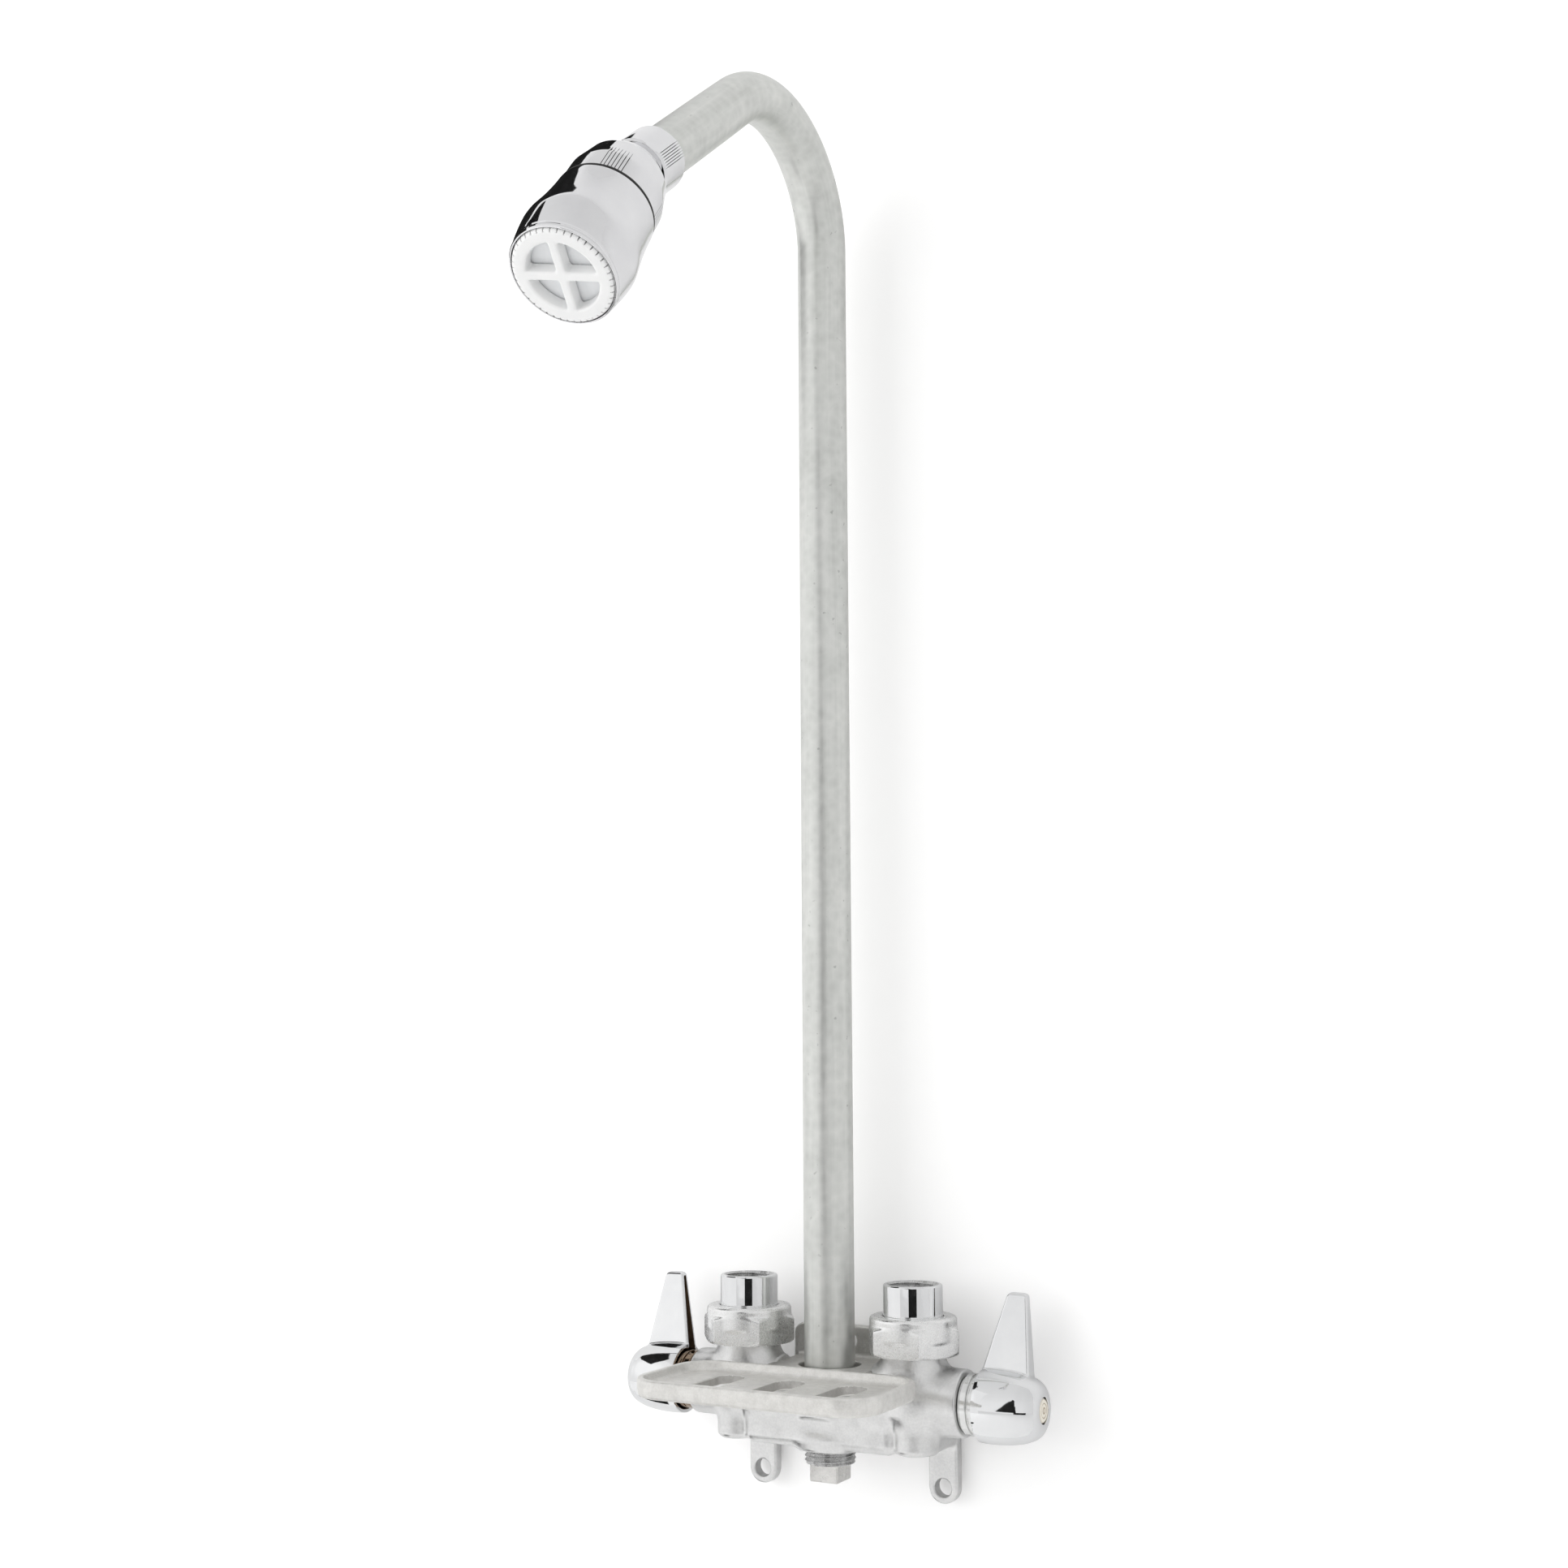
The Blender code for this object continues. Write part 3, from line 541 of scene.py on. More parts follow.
CAST = rough_chrome("cast_rough_chrome", rgb(0.68, 0.68, 0.677), rgb(0.80, 0.80, 0.795), 0.28, 0.38, 1150, 0.21, 0.00028, mottle=130)
NUT = rough_chrome("union_nut_rough_chrome", rgb(0.82, 0.82, 0.817), rgb(0.91, 0.91, 0.905), 0.24, 0.34, 1050, 0.11, 0.00028, mottle=150)
DISH = rough_chrome("sandblasted_dish", rgb(0.70, 0.69, 0.665), rgb(0.83, 0.82, 0.795), 0.36, 0.50, 1500, 0.50, 0.00026, metallic=0.78, mottle=260)
# painted shade: a darker copy of the dish finish for the side walls of the slots
SLOT_PAINTED_SHADE = rough_chrome("dish_slot_sides_painted_shade", rgb(0.44, 0.43, 0.41), rgb(0.56, 0.55, 0.53), 0.40, 0.52, 1500, 0.50, 0.00026, metallic=0.78, mottle=260)
GALV = galvanised()
PLUG = rough_chrome("plug_zinc", rgb(0.56, 0.55, 0.535), rgb(0.78, 0.77, 0.75), 0.26, 0.42, 700, 0.3, 0.0002)
CHROME = polished("handle_chrome", rgb(0.80, 0.805, 0.815), rgb(0.86, 0.865, 0.87))
HEAD_CHROME = polished("head_chrome", rgb(0.80, 0.80, 0.815), rgb(0.86, 0.86, 0.87), 0.03, 0.07, 0.035)
TAIL_CHROME = polished("tailpiece_chrome", rgb(0.80, 0.805, 0.815), rgb(0.87, 0.875, 0.88), 0.03, 0.07, 0.03)
BONNET_CHROME = polished("bonnet_chrome", rgb(0.72, 0.725, 0.72), rgb(0.82, 0.82, 0.81), 0.05, 0.12, 0.06)
BELL_INSIDE = rough_chrome("bell_inside", rgb(0.060, 0.038, 0.022), rgb(0.17, 0.11, 0.066), 0.30, 0.5, 500, 0.25, 0.0003, metallic=0.45)
# painted shade: near-black metal for the floors of the knurl grooves
GROOVE_PAINTED_SHADE = machined("groove_shadow", rgb(0.05, 0.05, 0.052), rgb(0.10, 0.10, 0.105), 0.4)
# painted shade: a dark brown copy of the bonnet chrome, used on the left bonnet only
BONNET_PAINTED_SHADE = polished("bonnet_chrome_painted_shade", rgb(0.22, 0.16, 0.11), rgb(0.34, 0.26, 0.19), 0.08, 0.16, 0.06)
THREAD = machined("thread_metal", rgb(0.50, 0.50, 0.50), rgb(0.70, 0.70, 0.70), 0.26)
RUBBER = plastic("black_rubber", rgb(0.012, 0.012, 0.012), rgb(0.035, 0.034, 0.033), 0.6, 300)
FIBRE = plastic("fibre_washer", rgb(0.05, 0.045, 0.04), rgb(0.12, 0.10, 0.085), 0.85, 600, strength=0.3)
CERAMIC = plastic("ceramic_disc", rgb(0.80, 0.79, 0.75), rgb(0.88, 0.87, 0.83), 0.25, 200)
BRASS = machined("machined_brass", rgb(0.66, 0.50, 0.24), rgb(0.80, 0.64, 0.34), 0.3)
STEEL = machined("screw_steel", rgb(0.48, 0.48, 0.48), rgb(0.64, 0.64, 0.64), 0.32)
FACE = plastic("face_white_plastic", rgb(0.86, 0.865, 0.865), rgb(0.90, 0.90, 0.895), 0.34, 120, 0.15, 0.05, 0.25)
JET = plastic("jet_plate_plastic", rgb(0.90, 0.92, 0.94), rgb(0.94, 0.955, 0.97), 0.42, 160, 0.0, 0.12, 0.3)
CUP = plastic("cup_acetal", rgb(0.80, 0.80, 0.78), rgb(0.87, 0.87, 0.85), 0.4, 140)
CORE = plastic("core_plastic", rgb(0.70, 0.73, 0.76), rgb(0.78, 0.80, 0.83), 0.42, 140)
BUTTON = plastic("index_button_plastic", rgb(0.80, 0.75, 0.64), rgb(0.86, 0.82, 0.72), 0.35, 500, 0.2)
BUTTON_MARK = plastic("index_mark", rgb(0.40, 0.34, 0.26), rgb(0.50, 0.43, 0.33), 0.5, 500)


def give(node, *mats):
    ob = NODES[node]
    ob.data.materials.clear()
    for m in mats:
        ob.data.materials.append(m)
    for s, m in zip(ob.material_slots, mats):
        s.material = m


for side in ("left_", "right_"):
    give(side + "union_washer", FIBRE)
    give(side + "seat_seal", RUBBER)
    give(side + "fixed_disc", CERAMIC)
    give(side + "rotating_disc", CERAMIC)
    give(side + "valve_stem", BRASS)
    give(side + "bonnet_o_ring", RUBBER)
    give(side + "handle_screw", STEEL)
give("flow_restrictor", CORE)
give("filter_screen", STEEL)
give("collar_washer", RUBBER)
give("ball_cup", CUP)
give("ball_retainer", BRASS)
give("spray_core", CORE)


# ------------------------------------------------------------------ valve body
def body_field(x, y, z):
    ax = np.abs(x)
    core = rbox(x, y, z, -35, 35, -13, 21, -33.0, -7.5, 4.5)
    backs = rbox(ax, y, z, 20, 50, -4, 21.6, -32.6, -8.9, 3.5)
    cols = tube(hyp(ax - 41.4, y + 5.2), z, 8.6, -32.2, -8.0, 2.6)
    trough = smin(core, smin(backs, cols, 3.0), 2.2)
    rx = hyp(y, z - AXIS_Z)
    boss = tube(rx, ax, 13.0, 22.0, 60.5, 0.8)
    end = tube(rx, ax, 13.6, 46.6, 62.5, 0.9)
    neck = tube(hyp(ax - INLET_X, y), z, 13.2, -16.0, 9.0, 0.5)
    thread = tube(hyp(ax - INLET_X, y), z, 14.5, 7.3, 13.0, 0.5)
    d = smin(trough, smin(boss, neck, 7.0), 5.0)
    d = smin(d, end, 1.2)
    d = np.minimum(d, thread)
    d = smin(d, tube(hyp(x, y), z, 14.8, -20, -4.6, 0.6), 2.0)
    d = smin(d, tube(hyp(x, y), z, 13.4, -34.0, -28, 1.0), 4.0)
    # fixing lugs
    lug2 = np.minimum(rect(ax - 42.75, z, -6.5, 6.5, -50, -22, 0.2), hyp(ax - 42.75, z + 50) - 6.5)
    lug = smax(lug2, np.abs(y - 21.7) - 2.8, 1.1)
    d = smin(d, lug, 2.6)
    d = smax(d, y - 24.5, 0.3)
    # bores
    d = smax(d, -tube(rx, ax, 9.8, 27, 70, 0.2), 0.5)
    d = smax(d, -tube(hyp(ax - INLET_X, y), z, 9.0, -11.3, 30, 0.2), 0.5)
    d = smax(d, -tube(hyp(x, y), z, 10.95, -16, 10, 0.2), 0.5)
    d = smax(d, -tube(hyp(x, y), z, 11.0, -60, -26.6, 0.2), 0.7)
    d = smax(d, -(hyp(ax - 42.75, z + 50) - 3.75), 0.7)
    return d


body = field("valve_body_casting", body_field, (-65, -21, -59), (65, 27, 15), 0.55, DECK, [CAST])
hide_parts("valve_body")
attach(body, "fitting")


# ------------------------------------------------------------------ soap dish
def dish_field(x, y, z):
    plan = rect(x, y, -54, 54, -76.9, -19.4, 15.8)
    # the wall leans out a little towards the rim
    tray = smax(plan + np.maximum(-z - 3.0, 0) * 0.16, np.abs(z + 2.35) - 3.75, 1.5)
    inner = rect(x, y, -54 + 2.5, 54 - 2.5, -76.9 + 2.5, -19.4 - 2.5, 13.3) + (1.4 - z) * 0.34
    pocket = smax(inner, -(z + 2.4), 1.5)
    d = smax(tray, -pocket, 0.6)
    ix = x - 28.0 * np.clip(np.round(x / 28.0), -1, 1)
    slot = rect(ix, y, -6.3, 6.3, -67.3, -29.7, 6.25) + (-2.4 - z) * 0.20
    d = smax(d, -slot, 0.5)
    deck = smax(rect(x, y, -23.5, 23.5, -21.2, 21.0, 1.5), np.abs(z + 2.0) - 2.0, 0.7)
    d = smin(d, deck, 1.0)
    plate = smax(rect(x, z, -27, 27, -4.0, 13.0, 4.6), np.abs(y - 21.75) - 2.75, 1.0)
    low = smax(rect(x, z, -27, 27, -4.0, 3.0, 0.6), np.abs(y - 21.75) - 2.75, 0.8)
    plate = np.minimum(plate, low)
    d = smin(d, plate, 2.2)
    d = smax(d, y - 24.5, 0.3)
    d = smax(d, -(hyp(x, y) - 13.0), 0.8)
    d = smax(d, -(hyp(x, z - 7.0) - 3.25), 0.6)
    return d


# faces on the slot side walls take the darker copy: painted shade in the slots
dish = field("soap_dish_casting", dish_field, (-56, -79, -8), (56, 26.5, 15), 0.52, DECK, [DISH, SLOT_PAINTED_SHADE],
             pick=lambda c, n: ((np.abs(c[:, 0] - 28.0 * np.clip(np.round(c[:, 0] / 28.0), -1, 1)) < 6.5) & (c[:, 1] > -67.6) & (c[:, 1] < -29.4)
                                & (c[:, 2] < -2.75) & (c[:, 2] > -5.75)).astype(int))
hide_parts("soap_dish")
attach(dish, "fitting")


# ------------------------------------------------------------------ riser pipe
def riser():
    r_out, r_in, R, top = 10.65, 7.9, 49.0, 485.0
    bend = math.radians(128.6)
    end = BALL + np.array(ARM_DIR) * 18.2
    path, tan = [], []
    for z in np.concatenate([np.linspace(-15.7, 1.4, 5), [1.7, 2.0], np.linspace(6, top - 12, 60)]):
        path.append((0, 0, z))
        tan.append((0, 0, 1))
    for i in range(0, 73):
        a = bend * i / 72
        path.append((0, -R * (1 - math.cos(a)), top + R * math.sin(a)))
        tan.append((0, -math.sin(a), math.cos(a)))
    last = np.array(path[-1])
    for s in np.linspace(0.06, 1, 16):
        path.append(tuple(last + (end - last) * s))
        tan.append(tuple(-np.array(ARM_DIR)))
    path, tan = np.array(path, float), np.array(tan, float)
    k = 96
    th = np.linspace(0, 2 * math.pi, k, endpoint=False)
    side = np.array([1.0, 0, 0])
    bi = np.cross(tan, side)
    bi /= np.linalg.norm(bi, axis=1, keepdims=True)
    # the pipe is drawn a little oval where it is bent
    arc = np.concatenate([[0], np.cumsum(np.linalg.norm(np.diff(path, axis=0), axis=1))])
    a0, a1 = arc[67], arc[67 + 72]
    w = np.clip(np.minimum((arc - a0) / 30, (a1 - arc) / 30) * 0.5 + 0.5, 0, 1)
    w = w * w * (3 - 2 * w)
    rings = []
    for rad in (r_out, r_in):
        ru = rad * (1 + 0.018 * w)[:, None]
        rv = rad * (1 - 0.028 * w)[:, None]
        c, s = np.cos(th)[None, :], np.sin(th)[None, :]
        P = path[:, None, :] + (ru * c)[..., None] * side + (rv * s)[..., None] * bi[:, None, :]
        Nn = c[..., None] * side + s[..., None] * bi[:, None, :]
        Nn = np.broadcast_to(Nn, P.shape)
        rings.append((P, Nn))
    m = len(path)
    (Po, No), (Pi, Ni) = rings
    loops = []
    norms = []
    # outside up, round the end, inside down, round the start
    for i in range(m):
        loops.append(Po[i]); norms.append(No[i])
    for q in (0.33, 0.67):
        loops.append(Po[-1] * (1 - q) + Pi[-1] * q); norms.append(np.tile(tan[-1], (k, 1)))
    for i in range(m - 1, -1, -1):
        loops.append(Pi[i]); norms.append(-Ni[i])
    for q in (0.33, 0.67):
        loops.append(Pi[0] * (1 - q) + Po[0] * q); norms.append(np.tile(-tan[0], (k, 1)))
    V = np.array(loops).reshape(-1, 3)
    N = np.array(norms).reshape(-1, 3)
    M = len(loops)
    idx = np.arange(M * k).reshape(M, k)
    a, b = idx, np.roll(idx, -1, axis=0)
    Q = np.stack([a, np.roll(a, -1, axis=1), np.roll(b, -1, axis=1), b], axis=-1).reshape(-1, 4)
    g = np.cross(V[Q[:, 1]] - V[Q[:, 0]], V[Q[:, 3]] - V[Q[:, 0]])
    if (g * N[Q[:, 0]]).sum() < 0:
        Q = Q[:, ::-1]
    ob = new_mesh("riser_pipe_tube", V, Q, DECK, [GALV], N)
    # straightened coordinates, so that the streaks follow the bend
    row = list(range(m)) + [m - 1, m - 1] + list(range(m - 1, -1, -1)) + [0, 0]
    rad = [r_out] * m + [9.7, 8.8] + [r_in] * m + [8.8, 9.7]
    along = np.stack([np.outer(rad, np.cos(th)), np.outer(rad, np.sin(th)), np.repeat(arc[row][:, None], k, axis=1)], axis=-1) * 0.001
    a = ob.data.attributes.new("along", "FLOAT_VECTOR", "POINT")
    a.data.foreach_set("vector", along.reshape(-1).astype(np.float32))
    return ob


pipe = riser()
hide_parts("riser_pipe")
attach(pipe, "fitting")


# ------------------------------------------------------------------ union nuts
def nut_field(x, y, z, turn):
    rho = hyp(x, y)
    ang = np.arctan2(y, x) - turn
    step = math.pi / 3
    # flats stand 30 degrees from the corners
    u = np.mod(ang, step) - step / 2
    flat = rho * np.cos(u) - 17.6
    hexa = smax(flat, np.abs(z - 12.95) - 6.25, 0.5)
    # turned chamfers over the corners, steeper on top
    up = (rho - 18.0) * 0.5 + (z - 18.6) * 0.866
    dn = (rho - 18.7) * 0.55 - (z - 6.9) * 0.835
    hexa = smax(smax(hexa, up, 0.8), dn, 0.8)
    shoulder = tube(rho, z, 18.1, 12.0, 22.4, 1.8)
    d = smin(hexa, shoulder, 0.7)
    d = smax(d, -tube(rho, z, 14.8, -10, 18.3, 0.2), 0.3)
    d = smax(d, -(rho - 12.65), 0.5)
    return d


for sx, side, turn in ((-1, "left", 11.1), (1, "right", 0.7)):
    ang = math.radians(turn)
    place = (np.eye(3), BASE + np.array([sx * INLET_X, 0, 0]))
    nut = field(side + "_union_nut_hex", lambda x, y, z, a=ang: nut_field(x, y, z, a), (-22, -22, 4.5), (22, 22, 24.5), 0.42,
                place, [NUT])
    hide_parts(side + "_union_nut")
    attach(nut, "fitting")


# ------------------------------------------------------------------ tailpieces, with their inner pipe thread
def saw(v):
    """A rounded triangle wave from -1 to 1."""
    return (2 / math.pi) * np.arcsin(np.clip(np.cos(2 * math.pi * v), -1, 1) * 0.98)


def tail_shape(r, z, th):
    inner = (r < 10.9) & (z > 22.0) & (z < 34.75)
    fade = np.clip((z - 22.0) / 1.5, 0, 1) * np.clip((34.75 - z) / 0.9, 0, 1)
    return np.where(inner, r + 0.5 * fade * saw(z / 1.814 - th / (2 * math.pi)), r)


for sx, side in ((-1, "left"), (1, "right")):
    place = (np.eye(3), BASE + np.array([sx * INLET_X, 0, 0]))
    inside = [(10.1, z) for z in np.arange(34.3, 21.9, -0.16)]
    prof = [(10.75, 35.0, 0.15), (11.9, 35.0, 0.5), (12.35, 34.4, 0.4), (12.35, 18.0, 0.1), (14.4, 18.0, 0.2), (14.4, 15.0, 0.2),
            (7.5, 15.0, 0.2), (7.5, 20.5, 0.3), (10.1, 21.7, 0.2)] + inside[::-1]
    ob = turned(side + "_tailpiece_turned", prof, place, [TAIL_CHROME, THREAD], 144, 0.2, True, tail_shape,
                pick=lambda r, z: 1 if (r < 10.5 and z > 14.9) else 0)
    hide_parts(side + "_inlet_tailpiece")
    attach(ob, "fitting")


# ------------------------------------------------------------------ drain plug
def plug_field(x, y, z):
    rho = hyp(x, y)
    th = np.arctan2(y, x)
    depth = 0.55 * np.clip((z + 40.0) / 0.8, 0, 1)
    screw = smax(rho - (10.25 + depth * (2 / math.pi) * np.arcsin(0.97 * np.cos(2 * math.pi * (z / 1.814 - th / (2 * math.pi))))), np.abs(z + 33.5) - 6.5, 0.3)
    head = rbox(x, y, z, -6.5, 6.5, -6.5, 6.5, -47.3, -36, 0.7)
    # the square is cast, and narrows slightly towards its end, but is drawn straight
    return smin(screw * 0.8, head, 0.8)


plug = field("drain_plug_turned", plug_field, (-12, -12, -49), (12, 12, -26), 0.24, DECK, [PLUG, THREAD],
             pick=lambda c, n: (hyp(c[:, 0], c[:, 1]) > 9.5).astype(int))
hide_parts("drain_plug")
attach(plug, "fitting")

# ------------------------------------------------------------------ bonnets
BONNET = [(4.3, 71.2), (11.7, 71.2, 0.4), (12.2, 70.7, 0.4), (12.2, 67.4, 0.35), (11.4, 67.15, 0.15), (11.4, 66.7, 0.15), (12.3, 66.4, 0.35), (12.3, 63.9, 0.35),
          (12.0, 63.6, 0.2), (11.4, 63.55, 0.15), (11.4, 62.8, 0.1), (9.5, 62.8, 0.2), (9.5, 51.4), (7.6, 51.4), (7.6, 49.2), (9.5, 49.2), (9.5, 44), (4.3, 44)]
for side, place in (("left", LEFT_AXIS), ("right", RIGHT_AXIS)):
    # the left bonnet takes the dark copy of its chrome: painted shade
    ob = turned(side + "_bonnet_turned", BONNET, place, [BONNET_PAINTED_SHADE if side == "left" else BONNET_CHROME], 128, 0.2)
    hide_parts(side + "_bonnet")
    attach(ob, "fitting")

# ------------------------------------------------------------------ lever handles
BELL_OUT = [(14.4, 69.6), (14.6, 71.5), (14.7, 74.0), (14.66, 77.0), (14.5, 80.0), (14.2, 83.0), (13.8, 85.6), (13.3, 88.0), (12.6, 90.0),
            (11.9, 91.8), (11.0, 93.2), (9.6, 94.5), (7.6, 95.3), (5.2, 95.5)]
CAVITY = [(0.0, 60.0), (12.8, 60.0), (12.8, 69.6), (13.0, 72.0), (13.0, 75.0), (12.8, 79.0), (12.4, 83.0), (11.6, 86.0), (10.4, 88.0), (6.8, 88.6),
          (6.8, 72.2), (3.8, 72.2), (3.8, 80.5), (1.9, 80.5), (1.9, 85.0), (0.0, 85.0)]
OUT_POLY = [(0.0, 69.6)] + spline(BELL_OUT, 5) + [(0.0, 95.5)]


def handle_field(x, y, z, sx):
    """x, y, z from the valve axis; sx is the side. u runs outwards and h up."""
    u, h = sx * x, z
    rho = hyp(y, h)
    bell = poly2(OUT_POLY, rho, u)
    s = (h - 9.5) / 34.5
    inner_side = (68.0 + 9.3 * s - u) * 0.965
    outer_side = (u - (89.8 - 4.2 * s)) * 0.993
    front = (-(y) + (-2.0 + 10.2 * s)) * 0.96
    rear = (y - (5.9 + 6.3 * s)) * 0.98
    # the tip falls slightly towards the outside
    tip = h - 44.0 + 0.02 * (u - 81.5)
    blade = smax(smax(inner_side, outer_side, 0.5), smax(front, rear, 0.5), 1.0)
    blade = smax(blade, tip, 1.9)
    blade = smax(blade, 6.0 - h, 0.3)
    d = smin(bell, blade, 0.9)
    # the lever is hollow and open towards the body
    wall_in = smax((-(y) + (-0.75 + 10.2 * s)) * 0.96, (y - (4.9 + 6.3 * s)) * 0.98, 0.5)
    hollow = smax(smax(wall_in, (u - (88.0 - 4.2 * s)) * 0.993, 0.8), smax(h - 42.3, 9.0 - h, 0.3), 0.8)
    d = smax(d, -hollow, 0.35)
    cav = poly2(CAVITY, rho, u)
    d = smax(d, -cav, 0.5)
    seat = tube(rho, u, 5.2, 91.5, 99, 0.1)
    d = smax(d, -seat, 0.25)
    drill = tube(rho, u, 3.9, 85.0, 93, 0.1)
    return smax(d, -drill, 0.2)


def inside_handle(c, n, sx):
    """Faces of the bell's cavity and of the lever's hollow."""
    u, y, h = sx * c[:, 0], c[:, 1], c[:, 2]
    rho = hyp(y, h)
    radial = (n[:, 1] * y + n[:, 2] * h) / np.maximum(rho, 1e-6)
    cavity = (rho < 13.2) & (u < 88.75) & (u > 69.9) & ((radial < -0.25) | (rho < 12.2))
    s = (h - 9.5) / 34.5
    hollow = (h > 8.5) & (h < 42.6) & (y > -0.98 + 10.2 * s) & (y < 5.15 + 6.3 * s) & (u < 88.25 - 4.2 * s) & (u > 68.45 + 9.3 * s)
    return (cavity | hollow).astype(int)


for sx, side in ((-1, "left"), (1, "right")):
    place = (np.eye(3), BASE + np.array([0, 0, AXIS_Z]))
    lo = (min(sx * 66, sx * 97.5), -16, -16)
    hi = (max(sx * 66, sx * 97.5), 16, 46)
    ob = field(side + "_lever_handle_cast", lambda x, y, z, k=sx: handle_field(x, y, z, k), lo, hi, 0.30, place, [CHROME, BELL_INSIDE],
               pick=lambda c, n, k=sx: inside_handle(c, n, k))
    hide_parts(side + "_lever_handle")
    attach(ob, side + "_handle")


# ------------------------------------------------------------------ index buttons: a plain ring and dot pressed in
for side, place in (("left", LEFT_AXIS), ("right", RIGHT_AXIS)):
    prof = [(0, 95.46), (0.75, 95.46), (0.95, 95.26), (1.25, 95.26), (1.45, 95.45), (2.5, 95.44), (2.68, 95.3), (2.86, 95.3), (3.04, 95.42),
            (4.2, 95.36, 0.3), (4.8, 94.8, 0.3), (4.8, 91.8, 0.2), (0, 91.8)]
    ob = turned(side + "_index_button_moulded", prof, place, [BUTTON, BUTTON_MARK], 72, 0.08, False,
                pick=lambda r, z: 1 if (z > 95.1 and (0.8 < r < 1.4 or 2.6 < r < 2.95)) else 0)
    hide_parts(side + "_index_button")
    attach(ob, side + "_handle")


# ------------------------------------------------------------------ the shower head
def knurled_angles(steps, centres, half, pitch, width):
    """Angles with extra ones where each fine groove is. Everything in radians."""
    th = list(np.linspace(0, 2 * math.pi, steps, endpoint=False))
    for c in centres:
        for g in np.arange(-half, half + 1) * pitch:
            for q in (-1.0, -0.6, -0.25, 0.0, 0.25, 0.6, 1.0):
                th.append((c + g + q * width) % (2 * math.pi))
    th = np.unique(np.round(th, 6))
    keep = [th[0]]
    for v in th[1:]:
        if v - keep[-1] > 0.0012:
            keep.append(v)
    return np.array(keep)


def grooves(th, centres, half, pitch, width):
    """0 to 1, how deep the groove is at each angle."""
    g = np.zeros_like(th)
    for c in centres:
        for k in range(-half, half + 1):
            d = np.abs((th - c - k * pitch + math.pi) % (2 * math.pi) - math.pi)
            g = np.maximum(g, np.clip(1 - d / width, 0, 1))
    return g


KNURL = [math.radians(a) for a in (-56.5, 33.5, 123.5, 213.5)]
K_HALF, K_PITCH, K_WIDTH = 3, math.radians(4.1), math.radians(0.75)


def housing_shape(r, z, th):
    g = grooves(th, KNURL, K_HALF, K_PITCH, K_WIDTH)
    zone = np.clip((z - t(42.0)) / 0.2, 0, 1) * np.clip((t(52.4) - z) / 0.8, 0, 1) * (r > 18.2)
    return r - 0.32 * g * zone


def housing_deep(r, z, th):
    return r - housing_shape(r, z, th)


HOUSING = [(13.2, 6.4, 0.4), (14.1, 5.8, 0.5), (16.6, t(62), 1.5), (18.3, t(55), 2.0), (19.2, t(51.5), 1.5), (19.25, t(50.2)), (19.28, t(48)), (19.3, t(45)), (19.3, t(42.3), 0.3),
           (17.6, t(42.3), 0.1), (17.6, t(26)), (14.6, t(26)), (14.6, -1.7)] + \
    [(12.8 * math.cos(a), 12.8 * math.sin(a)) for a in np.linspace(math.radians(-6), math.radians(29), 8)]
# the knurl groove floors take the near-black painted shade
housing = turned("head_housing_turned", HOUSING, HEAD, [HEAD_CHROME, GROOVE_PAINTED_SHADE], rad=0.25, shape=housing_shape, deep=housing_deep,
                 thetas=knurled_angles(180, KNURL, K_HALF, K_PITCH, K_WIDTH))
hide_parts("head_housing")
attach(housing, "head")

RING = [(17.9, t(42)), (19.7, t(42), 0.4), (19.7, t(41), 0.4), (17.9, t(41))]
ring = turned("joint_ring_moulded", RING, HEAD, [RUBBER], 180, 0.2)
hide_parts("joint_ring")
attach(ring, "head")

SHELL = [(17.9, t(40.7), 0.1), (19.4, t(40.7), 0.3), (19.9, t(40.2), 0.3)] + \
    spline([(19.95, t(39.6)), (20.15, t(36)), (20.5, t(32)), (20.95, t(28)), (21.5, t(24)), (22.1, t(20.5)), (22.6, t(17.5)), (22.78, t(14.8)), (22.6, t(12)),
            (22.2, t(8.5)), (21.7, t(5)), (21.25, t(2.7))], 4) + \
    [(20.95, t(2.1), 0.2), (21.1, t(1.4), 0.3), (21.0, t(0.6), 0.3), (20.6, t(0.0), 0.2), (20.1, t(0.0), 0.2), (20.1, t(7.0)), (18.2, t(7.0)), (18.2, t(24)), (17.9, t(25))]
shell = turned("spray_shell_turned", SHELL, HEAD, [HEAD_CHROME], 200, 0.3)
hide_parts("spray_shell")
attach(shell, "spray_ring")

CROSS = math.radians(12.0)
TICKS = 44


def face_field(x, y, z):
    rho = hyp(x, y)
    th = np.arctan2(y, x)
    d = smax(tube(rho, z, 19.8, t(-0.9), t(4.5), 0.35), (rho - 19.25) * 0.72 - (z - t(-0.55)) * 0.70, 0.7)
    # moulded notches round the rim
    k = 2 * math.pi / TICKS
    a = (th + k * 0.3) - k * np.round((th + k * 0.3) / k)
    notch = smax(np.abs(a * rho) - 0.20, 18.5 - rho, 0.2)
    notch = smax(notch, z - t(1.6), 0.2)
    d = smax(d, -notch, 0.15)
    # four windows with a cross between them; the cross stands a little lower than the ring, but is drawn level with it
    u = x * math.cos(CROSS) + y * math.sin(CROSS)
    v = -x * math.sin(CROSS) + y * math.cos(CROSS)
    lean = np.clip(z - t(-0.9), 0, 6) * 0.10
    win = smax(smax(1.75 + lean - np.abs(u), 1.75 + lean - np.abs(v), 1.6), rho - (14.3 - lean), 1.2)
    d = smax(d, -win, 1.1)
    return d


face = field("face_insert_moulded", face_field, (-21, -21, t(-2)), (21, 21, t(5.6)), 0.30, HEAD, [FACE])
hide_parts("face_insert")
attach(face, "spray_ring")


